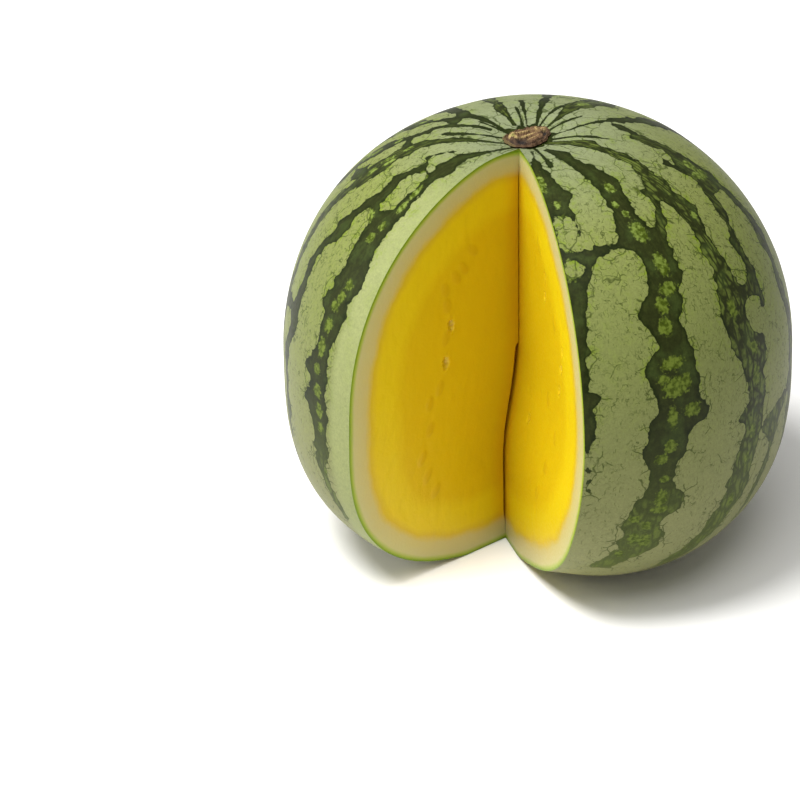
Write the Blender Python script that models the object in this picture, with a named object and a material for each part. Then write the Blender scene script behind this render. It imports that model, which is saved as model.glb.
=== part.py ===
# Round watermelon with yellow flesh, standing stem up, with one wedge cut out of its front.
# Metres, +Z up. The origin is the middle of the flat spot it rests on, under the stem.
# Azimuths are in degrees round the upright axis, from the front (-Y) towards +X.

import math

import bmesh
import bpy
from mathutils import Matrix, Vector

# Outside of the melon
RADIUS = 0.110              # half the width at the widest level
WIDEST_LEVEL = 0.0884       # height of the widest level above the surface it rests on
TOP_RISE = 0.1049           # from the widest level up to where the shoulders would close
TOP_FULLNESS = 2.145        # exponent of the upper curve: 2 is an ellipse, more is squarer
BOTTOM_DROP = 0.0905        # from the widest level down to where the bottom would close
BOTTOM_FULLNESS = 2.95      # exponent of the lower curve
FRONT_FULLNESS = 2.18       # the same at the front, where the bottom is drawn in more
FRONT_MIDDLE = -2.0         # azimuth of that side
FRONT_SPREAD = 27.0         # degrees to either side
SWELL_WIDE = 0.0006         # three broad swellings round the fruit
SWELL_FINE = 0.0005         # seven narrow ones

# Hollow that the stem grew from
STEM_PLACE = Vector((-0.0043, -0.0042))
HOLLOW_DEPTH = 0.0059
HOLLOW_RADIUS = 0.0183

# Mesh of the outside
COLUMNS = 80
TOP_RINGS = 26
BOTTOM_RINGS = 18
TOP_RING_CROWDING = 1.3     # more than 1 sets the rings closer towards the stem

# Missing wedge
APEX = Vector((-0.0076, -0.0153))    # where the two cuts meet, seen from above
LEFT_CUT = -49.4
RIGHT_CUT = 16.6
CUT_REACH = 0.160                    # length of the cutter, well past the rind
APEX_LEAN = -0.0062                  # how far the meeting line leans towards -X low down
LEAN_TOP = 0.097                     # height where it starts to lean
LEAN_FOOT = 0.040                    # height where it has leant all the way
LEAN_STEPS = 8                       # steps in which the cuts bend between those two

# Knife mark: a slit where the right-hand cut ran on past the left-hand one.
# Each step is height, width at its mouth and depth.
SLIT_STEPS = (
    (-0.012, 0.0010, 0.0040),
    (0.020, 0.0010, 0.0045),
    (0.045, 0.0012, 0.0060),
    (0.068, 0.0019, 0.0085),
    (0.090, 0.0024, 0.0100),
    (0.0955, 0.0021, 0.0070),
    (0.0975, 0.0005, 0.0030),
    (0.130, 0.0005, 0.0030),
    (0.165, 0.0005, 0.0030),
    (0.205, 0.0005, 0.0030),
)

# Unripe seeds that the cuts laid bare: millimetres out from the meeting line, millimetres up,
# and lean in degrees. They follow the curved line on which the seeds of the fruit lie.
LEFT_SEEDS = (
    (26, 150, 38), (31, 143, 35), (35, 140, 30), (41, 136, 18), (40, 128, 12), (41, 113, -6),
    (44, 90, -4), (49, 84, 4), (47, 71, -5), (49, 58, -14), (45, 48, -22), (40, 39, -34),
)
RIGHT_SEEDS = ((30, 158, 30), (52, 132, 14), (44, 92, -6), (57, 80, -4), (50, 62, -16), (43, 46, -28))
SEED_SIZE = Vector((0.0046, 0.0022, 0.0080))      # across, through and along the seed
SEED_PROUD = 0.0005                               # how far its middle stands out of the flesh
LEFT_POCKETS = ((38, 118, 4), (41, 101, 3))
RIGHT_POCKETS = ((38, 147, 8), (38, 138, 6), (63, 124, 5), (61, 115, 2), (59, 104, -3), (22, 71, -8))
POCKET_SIZE = Vector((0.0036, 0.0034, 0.0090))
POCKET_SUNK = 0.0002
SEED_SIDES = 8
SEED_RINGS = 5

# Corky scar left by the stem
SCAR_LONG = 0.0108          # half its length
SCAR_SHORT = 0.0080         # half its breadth
SCAR_TURN = 34.0            # its length runs this many degrees from +X towards +Y
SCAR_GAP = 0.0004           # clearance to the rind below it
SCAR_RIM = 0.0011           # height at the edge, over the rind
SCAR_CROWN = 0.0017         # further rise inside the edge
SCAR_PIT = 0.0019           # how far the torn middle is sunk
SCAR_COLUMNS = 36
SCAR_RINGS = 7


def clear_scene():
    for item in list(bpy.data.objects):
        bpy.data.objects.remove(item, do_unlink=True)


def make_material(name, colour, roughness):
    material = bpy.data.materials.new(name)
    material.use_nodes = True
    shader = material.node_tree.nodes["Principled BSDF"]
    shader.inputs["Base Color"].default_value = (*colour, 1.0)
    shader.inputs["Roughness"].default_value = roughness
    shader.inputs["Metallic"].default_value = 0.0
    return material


def make_object(name, bm, material):
    bmesh.ops.recalc_face_normals(bm, faces=bm.faces)
    mesh = bpy.data.meshes.new(name)
    bm.to_mesh(mesh)
    bm.free()
    mesh.materials.append(material)
    item = bpy.data.objects.new(name, mesh)
    bpy.context.scene.collection.objects.link(item)
    return item


def hide_tool(item):
    item.hide_render = True
    item.display_type = "WIRE"


def direction(azimuth):
    return Vector((math.sin(math.radians(azimuth)), -math.cos(math.radians(azimuth))))


def smooth_step(value):
    value = min(max(value, 0.0), 1.0)
    return value * value * (3.0 - 2.0 * value)


def lower_fullness(turn):
    """Exponent of the lower curve, for a turn from +X in radians."""
    away = (math.degrees(turn) + 90.0 - FRONT_MIDDLE + 180.0) % 360.0 - 180.0
    return BOTTOM_FULLNESS + (FRONT_FULLNESS - BOTTOM_FULLNESS) * math.exp(-((away / FRONT_SPREAD) ** 2))


def profile(angle, turn):
    """Distance from the axis and height, for an angle from the stem (0) to the bottom (pi)."""
    across, upright = math.sin(angle), math.cos(angle)
    if upright >= 0.0:
        exponent = 2.0 / TOP_FULLNESS
        return RADIUS * across ** exponent, WIDEST_LEVEL + TOP_RISE * upright ** exponent
    exponent = 2.0 / lower_fullness(turn)
    return RADIUS * across ** exponent, WIDEST_LEVEL - BOTTOM_DROP * (-upright) ** exponent


def hollow(x, y):
    """Depth of the stem's hollow at a place seen from above."""
    distance = (Vector((x, y)) - STEM_PLACE).length
    return HOLLOW_DEPTH * math.exp(-((distance / HOLLOW_RADIUS) ** 2))


def outside(angle, turn):
    """Point of the rind, for an angle from the stem and a turn from +X, in radians."""
    distance, height = profile(angle, turn)
    swell = SWELL_WIDE * math.cos(3.0 * turn + 1.9) + SWELL_FINE * math.cos(7.0 * turn + 0.4)
    distance += swell * math.sin(angle) ** 2
    x, y = distance * math.cos(turn), distance * math.sin(turn)
    if height > WIDEST_LEVEL:
        height -= hollow(x, y)
    return Vector((x, y, height))


def rind_height(x, y):
    """Height of the rind at a place near the stem."""
    distance = math.hypot(x, y) / RADIUS
    cap = (1.0 - distance ** TOP_FULLNESS) ** (1.0 / TOP_FULLNESS)
    return WIDEST_LEVEL + TOP_RISE * cap - hollow(x, y)


def ring_angles(turn):
    """Angles of the rings from the stem down to the edge of the flat spot."""
    flat_edge = math.pi - math.acos((WIDEST_LEVEL / BOTTOM_DROP) ** (lower_fullness(turn) / 2.0))
    half = math.pi / 2.0
    angles = [half * (ring / TOP_RINGS) ** TOP_RING_CROWDING for ring in range(1, TOP_RINGS + 1)]
    return angles + [half + (flat_edge - half) * ring / BOTTOM_RINGS for ring in range(1, BOTTOM_RINGS + 1)]


def build_body(material):
    turns = [math.tau * column / COLUMNS for column in range(COLUMNS)]
    columns = [[outside(angle, turn) for angle in ring_angles(turn)] for turn in turns]
    bm = bmesh.new()
    loops = [[bm.verts.new(place) for place in ring] for ring in zip(*columns)]
    for vert in loops[-1]:
        vert.co.z = 0.0
    for upper, lower in zip(loops, loops[1:]):
        for column in range(COLUMNS):
            after = (column + 1) % COLUMNS
            bm.faces.new((upper[column], upper[after], lower[after], lower[column]))
    pole = bm.verts.new((0.0, 0.0, rind_height(0.0, 0.0)))
    for column in range(COLUMNS):
        bm.faces.new((pole, loops[0][(column + 1) % COLUMNS], loops[0][column]))
    bm.faces.new(loops[-1])
    return make_object("melon", bm, material)


def lean(height):
    return APEX_LEAN * smooth_step((LEAN_TOP - height) / (LEAN_TOP - LEAN_FOOT))


def slit_size(height):
    """Width at the mouth and depth of the slit at a height, between the steps given above."""
    for lower, upper in zip(SLIT_STEPS, SLIT_STEPS[1:]):
        if height <= upper[0]:
            share = (height - lower[0]) / (upper[0] - lower[0])
            return tuple(a + (b - a) * share for a, b in zip(lower[1:], upper[1:]))
    return SLIT_STEPS[-1][1:]


def wedge_heights():
    bend = [LEAN_FOOT + (LEAN_TOP - LEAN_FOOT) * step / LEAN_STEPS for step in range(LEAN_STEPS + 1)]
    return sorted(bend + [step[0] for step in SLIT_STEPS])


def cut_corners(height):
    """Outline of the wedge at one height: far right, end of the slit, its left mouth, far left."""
    width, depth = slit_size(height)
    left, right = direction(LEFT_CUT), direction(RIGHT_CUT)
    apex = APEX + Vector((lean(height), 0.0))
    mouth = width / math.sin(math.radians(RIGHT_CUT - LEFT_CUT))
    corners = (
        APEX + right * CUT_REACH,
        apex - right * depth,
        apex + left * mouth,
        APEX + left * CUT_REACH,
    )
    return [Vector((corner.x, corner.y, height)) for corner in corners]


def build_wedge(material):
    bm = bmesh.new()
    levels = [[bm.verts.new(corner) for corner in cut_corners(height)] for height in wedge_heights()]
    for lower, upper in zip(levels, levels[1:]):
        for side in range(4):
            after = (side + 1) % 4
            bm.faces.new((lower[side], lower[after], upper[after], upper[side]))
    bm.faces.new(levels[0])
    bm.faces.new(levels[-1])
    bmesh.ops.triangulate(bm, faces=bm.faces)
    wedge = make_object("wedge_cutter", bm, material)
    hide_tool(wedge)
    return wedge


def cut_face_point(azimuth, out, up):
    """Point on a cut face, out from the meeting line and up from the base, in metres."""
    apex = APEX + Vector((lean(up), 0.0))
    far = APEX + direction(azimuth) * CUT_REACH
    place = apex.lerp(far, out / CUT_REACH)
    return Vector((place.x, place.y, up))


def seed_matrix(azimuth, out_mm, up_mm, lean_degrees, sunk):
    out, up = out_mm / 1000.0, up_mm / 1000.0
    step = 0.001
    along = (cut_face_point(azimuth, out + step, up) - cut_face_point(azimuth, out, up)).normalized()
    upright = (cut_face_point(azimuth, out, up + step) - cut_face_point(azimuth, out, up)).normalized()
    away = along.cross(upright).normalized()
    middle = direction((LEFT_CUT + RIGHT_CUT) / 2.0)
    if away.dot(Vector((middle.x, middle.y, 0.0))) < 0.0:
        away.negate()
    upright = away.cross(along).normalized()
    if upright.z < 0.0:
        upright.negate()
    turn = Matrix.Rotation(math.radians(lean_degrees), 3, away)
    axes = Matrix((turn @ along, away, turn @ upright)).transposed().to_4x4()
    place = cut_face_point(azimuth, out, up) - away * sunk
    return Matrix.Translation(place) @ axes


def build_seeds(name, size, sunk, left_places, right_places, material):
    """One object for each seed or pocket, gathered in a collection."""
    group = bpy.data.collections.new(name)
    bpy.context.scene.collection.children.link(group)
    places = [(LEFT_CUT, place) for place in left_places] + [(RIGHT_CUT, place) for place in right_places]
    for number, (azimuth, place) in enumerate(places):
        bm = bmesh.new()
        bmesh.ops.create_uvsphere(bm, u_segments=SEED_SIDES, v_segments=SEED_RINGS, radius=0.5)
        bmesh.ops.scale(bm, vec=size, verts=bm.verts)
        bmesh.ops.transform(bm, matrix=seed_matrix(azimuth, *place, sunk), verts=bm.verts)
        seed = make_object(f"{name}_{number + 1}", bm, material)
        bpy.context.scene.collection.objects.unlink(seed)
        group.objects.link(seed)
        hide_tool(seed)
    return group


def apply_boolean(body, operation, tool=None, group=None):
    modifier = body.modifiers.new(operation.title(), "BOOLEAN")
    modifier.operation = operation
    modifier.solver = "EXACT"
    if group is not None:
        modifier.operand_type = "COLLECTION"
        modifier.collection = group
    else:
        modifier.object = tool
    modifier.material_mode = "TRANSFER"
    bpy.context.view_layer.update()
    depsgraph = bpy.context.evaluated_depsgraph_get()
    mesh = bpy.data.meshes.new_from_object(body.evaluated_get(depsgraph))
    body.modifiers.clear()
    old = body.data
    body.data = mesh
    bpy.data.meshes.remove(old)
    if group is not None:
        for item in list(group.objects):
            bpy.data.objects.remove(item, do_unlink=True)
        bpy.data.collections.remove(group)
    else:
        bpy.data.objects.remove(tool, do_unlink=True)


def shade(item, angle):
    item.data.name = item.name
    item.data.shade_smooth()
    item.data.set_sharp_from_angle(angle=math.radians(angle))


def build_melon():
    rind = make_material("rind", (0.28, 0.40, 0.15), 0.42)
    flesh = make_material("flesh", (0.82, 0.56, 0.02), 0.38)
    melon = build_body(rind)
    apply_boolean(melon, "DIFFERENCE", tool=build_wedge(flesh))
    seeds = build_seeds("seed", SEED_SIZE, -SEED_PROUD, LEFT_SEEDS, RIGHT_SEEDS, flesh)
    apply_boolean(melon, "UNION", group=seeds)
    pockets = build_seeds("pocket", POCKET_SIZE, POCKET_SUNK, LEFT_POCKETS, RIGHT_POCKETS, flesh)
    apply_boolean(melon, "DIFFERENCE", group=pockets)
    shade(melon, 30.0)


def scar_outline(turn):
    """Distance of the scar's ragged edge from its middle."""
    round_edge = 1.0 / math.hypot(math.cos(turn) / SCAR_LONG, math.sin(turn) / SCAR_SHORT)
    ragged = 0.035 * math.sin(3.0 * turn + 0.7) + 0.030 * math.sin(7.0 * turn + 2.1)
    return round_edge * (1.0 + ragged + 0.022 * math.sin(13.0 * turn))


def scar_rise(share, turn):
    """Height of the scar over the rind: a low rim, a torn crown and a sunk middle."""
    crown = SCAR_CROWN * math.sin(math.pi * min(share * 1.15, 1.0)) ** 2
    torn = 0.55 * math.sin(2.0 * turn + 5.0 * share) + 0.45 * math.sin(5.0 * turn - 3.0 * share)
    pit = SCAR_PIT * math.exp(-((share / 0.32) ** 2))
    return SCAR_GAP + SCAR_RIM + SCAR_CROWN * 0.55 + crown * (0.55 + 0.45 * torn) - pit * 0.6


def build_scar():
    bark = make_material("stem_bark", (0.16, 0.09, 0.05), 0.85)
    bm = bmesh.new()
    turned = Matrix.Rotation(math.radians(SCAR_TURN), 2)
    sheets = []
    for top in (True, False):
        loops = []
        for ring in range(1, SCAR_RINGS + 1):
            share = ring / SCAR_RINGS
            loop = []
            for column in range(SCAR_COLUMNS):
                turn = math.tau * column / SCAR_COLUMNS
                flat = Vector((math.cos(turn), math.sin(turn))) * scar_outline(turn) * share
                flat = turned @ flat + STEM_PLACE
                rise = scar_rise(share, turn) if top else SCAR_GAP
                loop.append(bm.verts.new((flat.x, flat.y, rind_height(flat.x, flat.y) + rise)))
            loops.append(loop)
        rise = scar_rise(0.0, 0.0) if top else SCAR_GAP
        middle = bm.verts.new((*STEM_PLACE, rind_height(*STEM_PLACE) + rise))
        for column in range(SCAR_COLUMNS):
            bm.faces.new((middle, loops[0][column], loops[0][(column + 1) % SCAR_COLUMNS]))
        for inner, outer in zip(loops, loops[1:]):
            for column in range(SCAR_COLUMNS):
                after = (column + 1) % SCAR_COLUMNS
                bm.faces.new((inner[column], outer[column], outer[after], inner[after]))
        sheets.append(loops[-1])
    for column in range(SCAR_COLUMNS):
        after = (column + 1) % SCAR_COLUMNS
        bm.faces.new((sheets[0][column], sheets[1][column], sheets[1][after], sheets[0][after]))
    shade(make_object("stem_scar", bm, bark), 40.0)


clear_scene()
build_melon()
build_scar()
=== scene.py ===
# Looks of a round watermelon with yellow flesh that stands stem up, with a wedge cut out of its front.
# Metres, +Z up, the wedge at -Y. Azimuths are in degrees from -Y towards +X, seen from above.

import math
import random
from functools import partial

import bpy
import numpy as np
from mathutils import Matrix, Vector, kdtree, noise


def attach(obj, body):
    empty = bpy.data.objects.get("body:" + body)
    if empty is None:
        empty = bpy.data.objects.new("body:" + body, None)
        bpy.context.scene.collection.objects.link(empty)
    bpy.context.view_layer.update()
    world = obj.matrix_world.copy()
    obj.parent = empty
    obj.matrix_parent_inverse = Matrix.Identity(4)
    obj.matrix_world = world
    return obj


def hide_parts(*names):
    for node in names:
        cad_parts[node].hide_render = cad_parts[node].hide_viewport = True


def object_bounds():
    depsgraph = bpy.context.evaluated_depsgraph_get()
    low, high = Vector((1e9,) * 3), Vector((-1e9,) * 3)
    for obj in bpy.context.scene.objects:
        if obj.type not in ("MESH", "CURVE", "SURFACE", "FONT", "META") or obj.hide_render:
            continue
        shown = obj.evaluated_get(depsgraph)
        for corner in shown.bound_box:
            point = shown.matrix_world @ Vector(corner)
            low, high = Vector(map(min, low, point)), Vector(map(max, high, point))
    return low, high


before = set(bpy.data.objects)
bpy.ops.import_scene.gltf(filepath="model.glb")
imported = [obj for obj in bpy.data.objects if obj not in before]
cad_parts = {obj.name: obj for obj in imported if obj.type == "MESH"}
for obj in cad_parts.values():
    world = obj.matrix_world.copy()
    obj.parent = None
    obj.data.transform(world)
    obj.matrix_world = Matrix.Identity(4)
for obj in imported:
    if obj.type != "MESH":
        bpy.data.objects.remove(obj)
cadLow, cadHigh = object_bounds()
mm = 0.001


# Small helpers

def linear(hexColour):
    # Turns an sRGB hex colour into linear RGBA.
    parts = [int(hexColour[i:i + 2], 16) / 255.0 for i in (1, 3, 5)]
    return tuple(p / 12.92 if p <= 0.04045 else ((p + 0.055) / 1.055) ** 2.4 for p in parts) + (1.0,)


def smoothStep(low, high, value):
    share = np.clip((value - low) / (high - low), 0.0, 1.0)
    return share * share * (3.0 - 2.0 * share)


def noiseAt(across, along, level):
    # Smooth noise at pairs of places, on one level of its cloud.
    pairs = zip(across.ravel(), along.ravel())
    return np.array([noise.noise(Vector((x, y, level))) for x, y in pairs]).reshape(across.shape)


def sunkIn(points, depth):
    # Points of the melon moved towards the middle of its widest level.
    outward = points - np.array([0.0, 0.0, melonForm["widestLevel"]])
    return points - outward / np.linalg.norm(outward, axis=-1, keepdims=True) * depth


def addNode(tree, kind, inputs=(), output=0, stops=(), **settings):
    # Adds a node and gives back one of its outputs. The inputs are numbers, colours or other nodes' outputs,
    # by name or in the node's own order.
    node = tree.nodes.new("ShaderNode" + kind)
    for name, value in settings.items():
        setattr(node, name, value)
    for name, value in (inputs if isinstance(inputs, dict) else dict(enumerate(inputs))).items():
        if isinstance(value, bpy.types.NodeSocket):
            tree.links.new(value, node.inputs[name])
        else:
            node.inputs[name].default_value = value
    if stops:
        elements = node.color_ramp.elements
        while len(elements) < len(stops):
            elements.new(0.5)
        for element, (place, colour) in zip(elements, stops):
            element.position, element.color = place, colour
    return node.outputs[output] if len(node.outputs) else None


def newMaterial(name, look):
    # An empty material, what adds nodes to it, and its look with the hex colours made linear.
    material = bpy.data.materials.new(name)
    material.use_nodes = True
    material.node_tree.nodes.clear()
    look = {label: linear(value) if isinstance(value, str) else value for label, value in look.items()}
    return material, partial(addNode, material.node_tree), look


def coated(add, colour, coats):
    # Lays coats over a colour, each with the share from 0 to 1 that it covers.
    for share, coat in coats:
        colour = add("Mix", {0: share, 6: colour, 7: coat}, 2, data_type="RGBA")
    return colour


def placed(name, data):
    # Puts a mesh, a light or a camera into the scene.
    item = bpy.data.objects.new(name, data)
    bpy.context.scene.collection.objects.link(item)
    return item


def makePiece(name, points, parts, attributes, material, sharpAngle):
    # A mesh from lists of faces with their UVs. Quads with two equal corners become triangles, and points
    # that no face uses are left out.
    faces, uvs = [], []
    for partFaces, partUvs in parts:
        for face, corners in zip(np.asarray(partFaces).tolist(), np.asarray(partUvs).tolist()):
            keep = [k for k in range(len(face)) if face[k] != face[k - 1]]
            if len(keep) >= 3:
                faces.append([face[k] for k in keep])
                uvs.extend(corners[k] for k in keep)
    used = np.unique(np.concatenate([np.asarray(face) for face in faces]))
    renumber = np.full(len(points), -1)
    renumber[used] = np.arange(len(used))
    mesh = bpy.data.meshes.new(name)
    mesh.from_pydata(points[used].tolist(), [], [[int(renumber[k]) for k in face] for face in faces])
    layer = mesh.uv_layers.new(name="OFBake")
    layer.data.foreach_set("uv", np.asarray(uvs, dtype=np.float32).ravel())
    for label, values in attributes.items():
        values = np.asarray(values[used], dtype=np.float32)
        kind, field = ("FLOAT", "value") if values.ndim == 1 else ("FLOAT_VECTOR", "vector")
        mesh.attributes.new(label, kind, "POINT").data.foreach_set(field, values.ravel())
    mesh.shade_smooth()
    mesh.set_sharp_from_angle(angle=math.radians(sharpAngle))
    mesh.materials.append(material)
    print(name + ":", len(used), "points,", len(faces), "faces")
    return placed(name, mesh)


def gridFaces(index, uvBox):
    # Quads between the rows of an index grid, facing out when rows run down and columns to the right.
    rows, columns = index.shape[0] - 1, index.shape[1] - 1
    left, bottom, right, top = uvBox
    us = np.linspace(left, right, columns + 1)
    vs = np.linspace(top, bottom, rows + 1)
    quads = np.stack([index[:-1, :-1], index[1:, :-1], index[1:, 1:], index[:-1, 1:]], axis=-1).reshape(-1, 4)
    corners = []
    for down, across in ((0, 0), (1, 0), (1, 1), (0, 1)):
        v, u = np.meshgrid(vs[down:rows + down], us[across:columns + across], indexing="ij")
        corners.append(np.stack([u, v], axis=-1).reshape(-1, 2))
    return quads, np.stack(corners, axis=1)


def fanFaces(pole, rim, corners=(), turned=False):
    # Triangles from a pole to each two neighbours on a rim, all with the same UVs.
    pairs = zip(rim[1:], rim[:-1]) if turned else zip(rim[:-1], rim[1:])
    faces = [(pole, first, second) for first, second in pairs]
    return faces, [corners] * len(faces)


# The form of the melon, as the solid part has it

melonForm = {
    "radius": 0.110, "widestLevel": 0.0884,
    "topRise": 0.1049, "topFullness": 2.145,
    "bottomDrop": 0.0905, "bottomFullness": 2.95,
    "frontFullness": 2.18, "frontMiddle": -2.0, "frontSpread": 27.0,
    "swells": ((0.0006, 3.0, 1.9), (0.0005, 7.0, 0.4)),      # height, waves round the melon and phase
    "stemPlace": (-0.0043, -0.0042), "hollowDepth": 0.0059, "hollowRadius": 0.0183,
    "insideSolid": 0.00016,      # the faceted solid lies this far inside its own curves
    "rows": 216, "columns": 392, "baseRows": 7, "middleRows": 4,
    "innerColumns": 24, "skinThickness": 0.0012,
    # depth of the skin's slight waves, how many to the metre, and the columns beside a cut that stay calm
    "waviness": 0.00016, "waveBase": 0.6, "waves": 34.0, "fineWaves": 105.0, "fineShare": 0.35,
    "calmColumns": 4.0,
}
cut = {
    "apex": (-0.0076, -0.0153), "leftAzimuth": -49.4, "rightAzimuth": 16.6, "reach": 0.160,
    "lean": -0.0062, "leanTop": 0.097, "leanFoot": 0.040,
    # height, width at the mouth and depth of the knife's slit
    "slit": ((-0.012, 0.0010, 0.0030), (0.020, 0.0010, 0.0030), (0.045, 0.0012, 0.0034),
             (0.068, 0.0019, 0.0042), (0.090, 0.0024, 0.0044), (0.0955, 0.0021, 0.0036),
             (0.0975, 0.0005, 0.0010), (0.205, 0.0005, 0.0010)),
    # how far from the skin the slit starts and is fully open, and the share of it that is there before
    "slitStarts": 0.0055, "slitOpens": 0.014, "slitLeast": 0.03,
    # azimuths between which the search for the cuts' edges runs, and its steps
    "searchTo": {"left": -78.0, "right": 42.0}, "halvings": 46,
}


def lowerFullness(azimuth):
    # Exponent of the lower curve: the bottom is drawn in more at the front.
    form = melonForm
    away = (azimuth - form["frontMiddle"] + 180.0) % 360.0 - 180.0
    return form["bottomFullness"] + (form["frontFullness"] - form["bottomFullness"]) * np.exp(
        -((away / form["frontSpread"]) ** 2))


def profile(angle, azimuth=180.0):
    # Distance from the axis and height, for an angle from the stem to the bottom.
    form = melonForm
    across, upright = np.sin(angle), np.cos(angle)
    up, down = 2.0 / form["topFullness"], 2.0 / lowerFullness(azimuth)
    above = upright >= 0.0
    r = form["radius"] * np.where(above, across ** up, across ** down)
    z = form["widestLevel"] + np.where(above, form["topRise"] * np.abs(upright) ** up,
                                       -form["bottomDrop"] * np.abs(upright) ** down)
    return r, z


def hollow(x, y):
    distance = np.hypot(x - melonForm["stemPlace"][0], y - melonForm["stemPlace"][1])
    return melonForm["hollowDepth"] * np.exp(-((distance / melonForm["hollowRadius"]) ** 2))


def flatEdge(azimuth):
    # Angle at which the lower curve meets the flat spot.
    level = melonForm["widestLevel"] / melonForm["bottomDrop"]
    return math.pi - np.arccos(level ** (lowerFullness(azimuth) / 2.0))


def outside(angle, azimuth):
    # Points of the skin, for angles from the stem in radians and azimuths in degrees. The angles are those
    # of the back, where the lower curve ends a little sooner.
    form = melonForm
    turn = np.radians(azimuth) - math.pi / 2.0
    half = math.pi / 2.0
    stretch = np.where(angle > half, (flatEdge(azimuth) - half) / (flatEdge(180.0) - half), 1.0)
    angle = half + (angle - half) * stretch
    r, z = profile(angle, azimuth)
    swell = sum(height * np.cos(count * turn + phase) for height, count, phase in form["swells"])
    r = (r + swell * np.sin(angle) ** 2) * (1.0 - form["insideSolid"] / form["radius"])
    x, y = r * np.cos(turn), r * np.sin(turn)
    above = z > form["widestLevel"]
    lowered = hollow(x, y) + form["insideSolid"] * (z - form["widestLevel"]) / form["topRise"]
    return x, y, z - np.where(above, lowered, 0.0)


def apexAt(height):
    # Place where the two cuts meet, which leans to the left on its way down.
    share = smoothStep(0.0, 1.0, (cut["leanTop"] - height) / (cut["leanTop"] - cut["leanFoot"]))
    return cut["apex"][0] + cut["lean"] * share, cut["apex"][1] * np.ones_like(share)


def cutDirection(side):
    azimuth = math.radians(cut[side + "Azimuth"])
    return math.sin(azimuth), -math.cos(azimuth)


def insideWedge(x, y, z, side):
    # Positive on the wedge's side of one cut.
    ax, ay = apexAt(z)
    dx, dy = cutDirection(side)
    fx, fy = cut["apex"][0] + dx * cut["reach"] - ax, cut["apex"][1] + dy * cut["reach"] - ay
    sign = 1.0 if side == "left" else -1.0
    return sign * (fx * (y - ay) - fy * (x - ax))


def cutAzimuths(place, start, side):
    # Azimuth where each ring meets one cut; place gives a ring's points from its azimuth.
    near = start.copy()
    far = np.full_like(start, cut["searchTo"][side])
    for _ in range(cut["halvings"]):
        middle = (near + far) / 2.0
        inside = insideWedge(*place(middle), side) > 0.0
        near = np.where(inside, middle, near)
        far = np.where(inside, far, middle)
    return (near + far) / 2.0


def slitSize(height, top):
    # Width and depth of the knife's slit.
    steps, least = np.array(cut["slit"]), cut["slitLeast"]
    inward = np.minimum(top - height, height)
    opening = least + (1.0 - least) * smoothStep(cut["slitStarts"], cut["slitOpens"], inward)
    return tuple(np.interp(height, steps[:, 0], steps[:, column]) * opening for column in (1, 2))


# Distances along the skin, measured down from the stem, and how many of the steps surely still rise
fineSteps, risingSteps = 6000, 2500
fineAngles = np.linspace(1e-4, flatEdge(180.0), fineSteps)
fineR, fineZ = profile(fineAngles)
fineArcs = np.concatenate([[0.0], np.cumsum(np.hypot(np.diff(fineR), np.diff(fineZ)))]) / mm
cornerArc, cornerRadius = fineArcs[-1], fineR[-1]


def baseReach(radii, footRadius, azimuth):
    # Radii on the flat spot, which reaches less far towards the front than its rows do at the back.
    edge = profile(flatEdge(azimuth), azimuth)[0]
    share = np.clip((radii - footRadius) / (cornerRadius - footRadius), 0.0, 1.0)
    return np.where(radii > footRadius, footRadius + (edge - footRadius) * share, radii)


def layRows():
    # Rows of the skin from the stem to the middle of the base, with the azimuths of both cuts.
    form, laid = melonForm, {}
    apexArc = np.interp(math.hypot(*cut["apex"]), fineR[:risingSteps], fineArcs[:risingSteps])
    closed = max(int(round(apexArc / (cornerArc / form["rows"]))), 4)
    arcs = np.concatenate([np.linspace(0.0, apexArc, closed + 1)[1:],
                           np.linspace(apexArc, cornerArc, form["rows"] - closed + 1)[1:]])
    angles = np.interp(arcs, fineArcs, fineAngles)
    apexAzimuth = math.degrees(math.atan2(cut["apex"][0], -cut["apex"][1]))
    footX, footY = (float(part) for part in apexAt(np.float64(0.0)))
    footRadius, footAzimuth = math.hypot(footX, footY), math.degrees(math.atan2(footX, -footY))
    baseRadii = np.concatenate([np.linspace(cornerRadius, footRadius, form["baseRows"] + 1)[1:],
                                np.linspace(footRadius, 0.0, form["middleRows"] + 1)[1:-1]])

    def onBase(azimuth):
        turn, radii = np.radians(azimuth), baseReach(baseRadii, footRadius, azimuth)
        return radii * np.sin(turn), -radii * np.cos(turn), np.zeros(len(baseRadii))

    for side in ("left", "right"):
        laid[side] = cutAzimuths(partial(outside, angles), np.full(len(arcs), apexAzimuth), side)
        laid[side][:closed] = apexAzimuth
        laid[side + "Base"] = cutAzimuths(onBase, np.full(len(baseRadii), footAzimuth), side)
        laid[side + "Base"][form["baseRows"] - 1:] = footAzimuth
    return {**laid, "angles": angles, "arcs": arcs, "closed": closed, "baseRadii": baseRadii,
            "footRadius": footRadius}


rows = layRows()


def skinGrid(columns):
    # Points of the skin's rows, from the right-hand cut round the back to the left-hand one.
    share = np.linspace(0.0, 1.0, columns + 1)
    azimuths, baseAzimuths = (
        rows["right" + part][:, None] + (rows["left" + part] + 360.0 - rows["right" + part])[:, None] * share
        for part in ("", "Base"))
    x, y, z = outside(np.repeat(rows["angles"][:, None], columns + 1, axis=1), azimuths)
    z[-1] = 0.0
    turn = np.radians(baseAzimuths)
    shrink = math.hypot(x[-1, columns // 2], y[-1, columns // 2]) / cornerRadius
    radii = baseReach(rows["baseRadii"][:, None], rows["footRadius"], baseAzimuths) * shrink
    base = np.stack([radii * np.sin(turn), -radii * np.cos(turn), np.zeros_like(turn)], axis=-1)
    return np.concatenate([np.stack([x, y, z], axis=-1), base])


print("rows laid:", len(rows["angles"]), "open from row", rows["closed"])


# Dark stripes, as they lie on the fruit: arc in mm from the stem down the skin, then the azimuths
# of the stripe's left and right edge.

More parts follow.
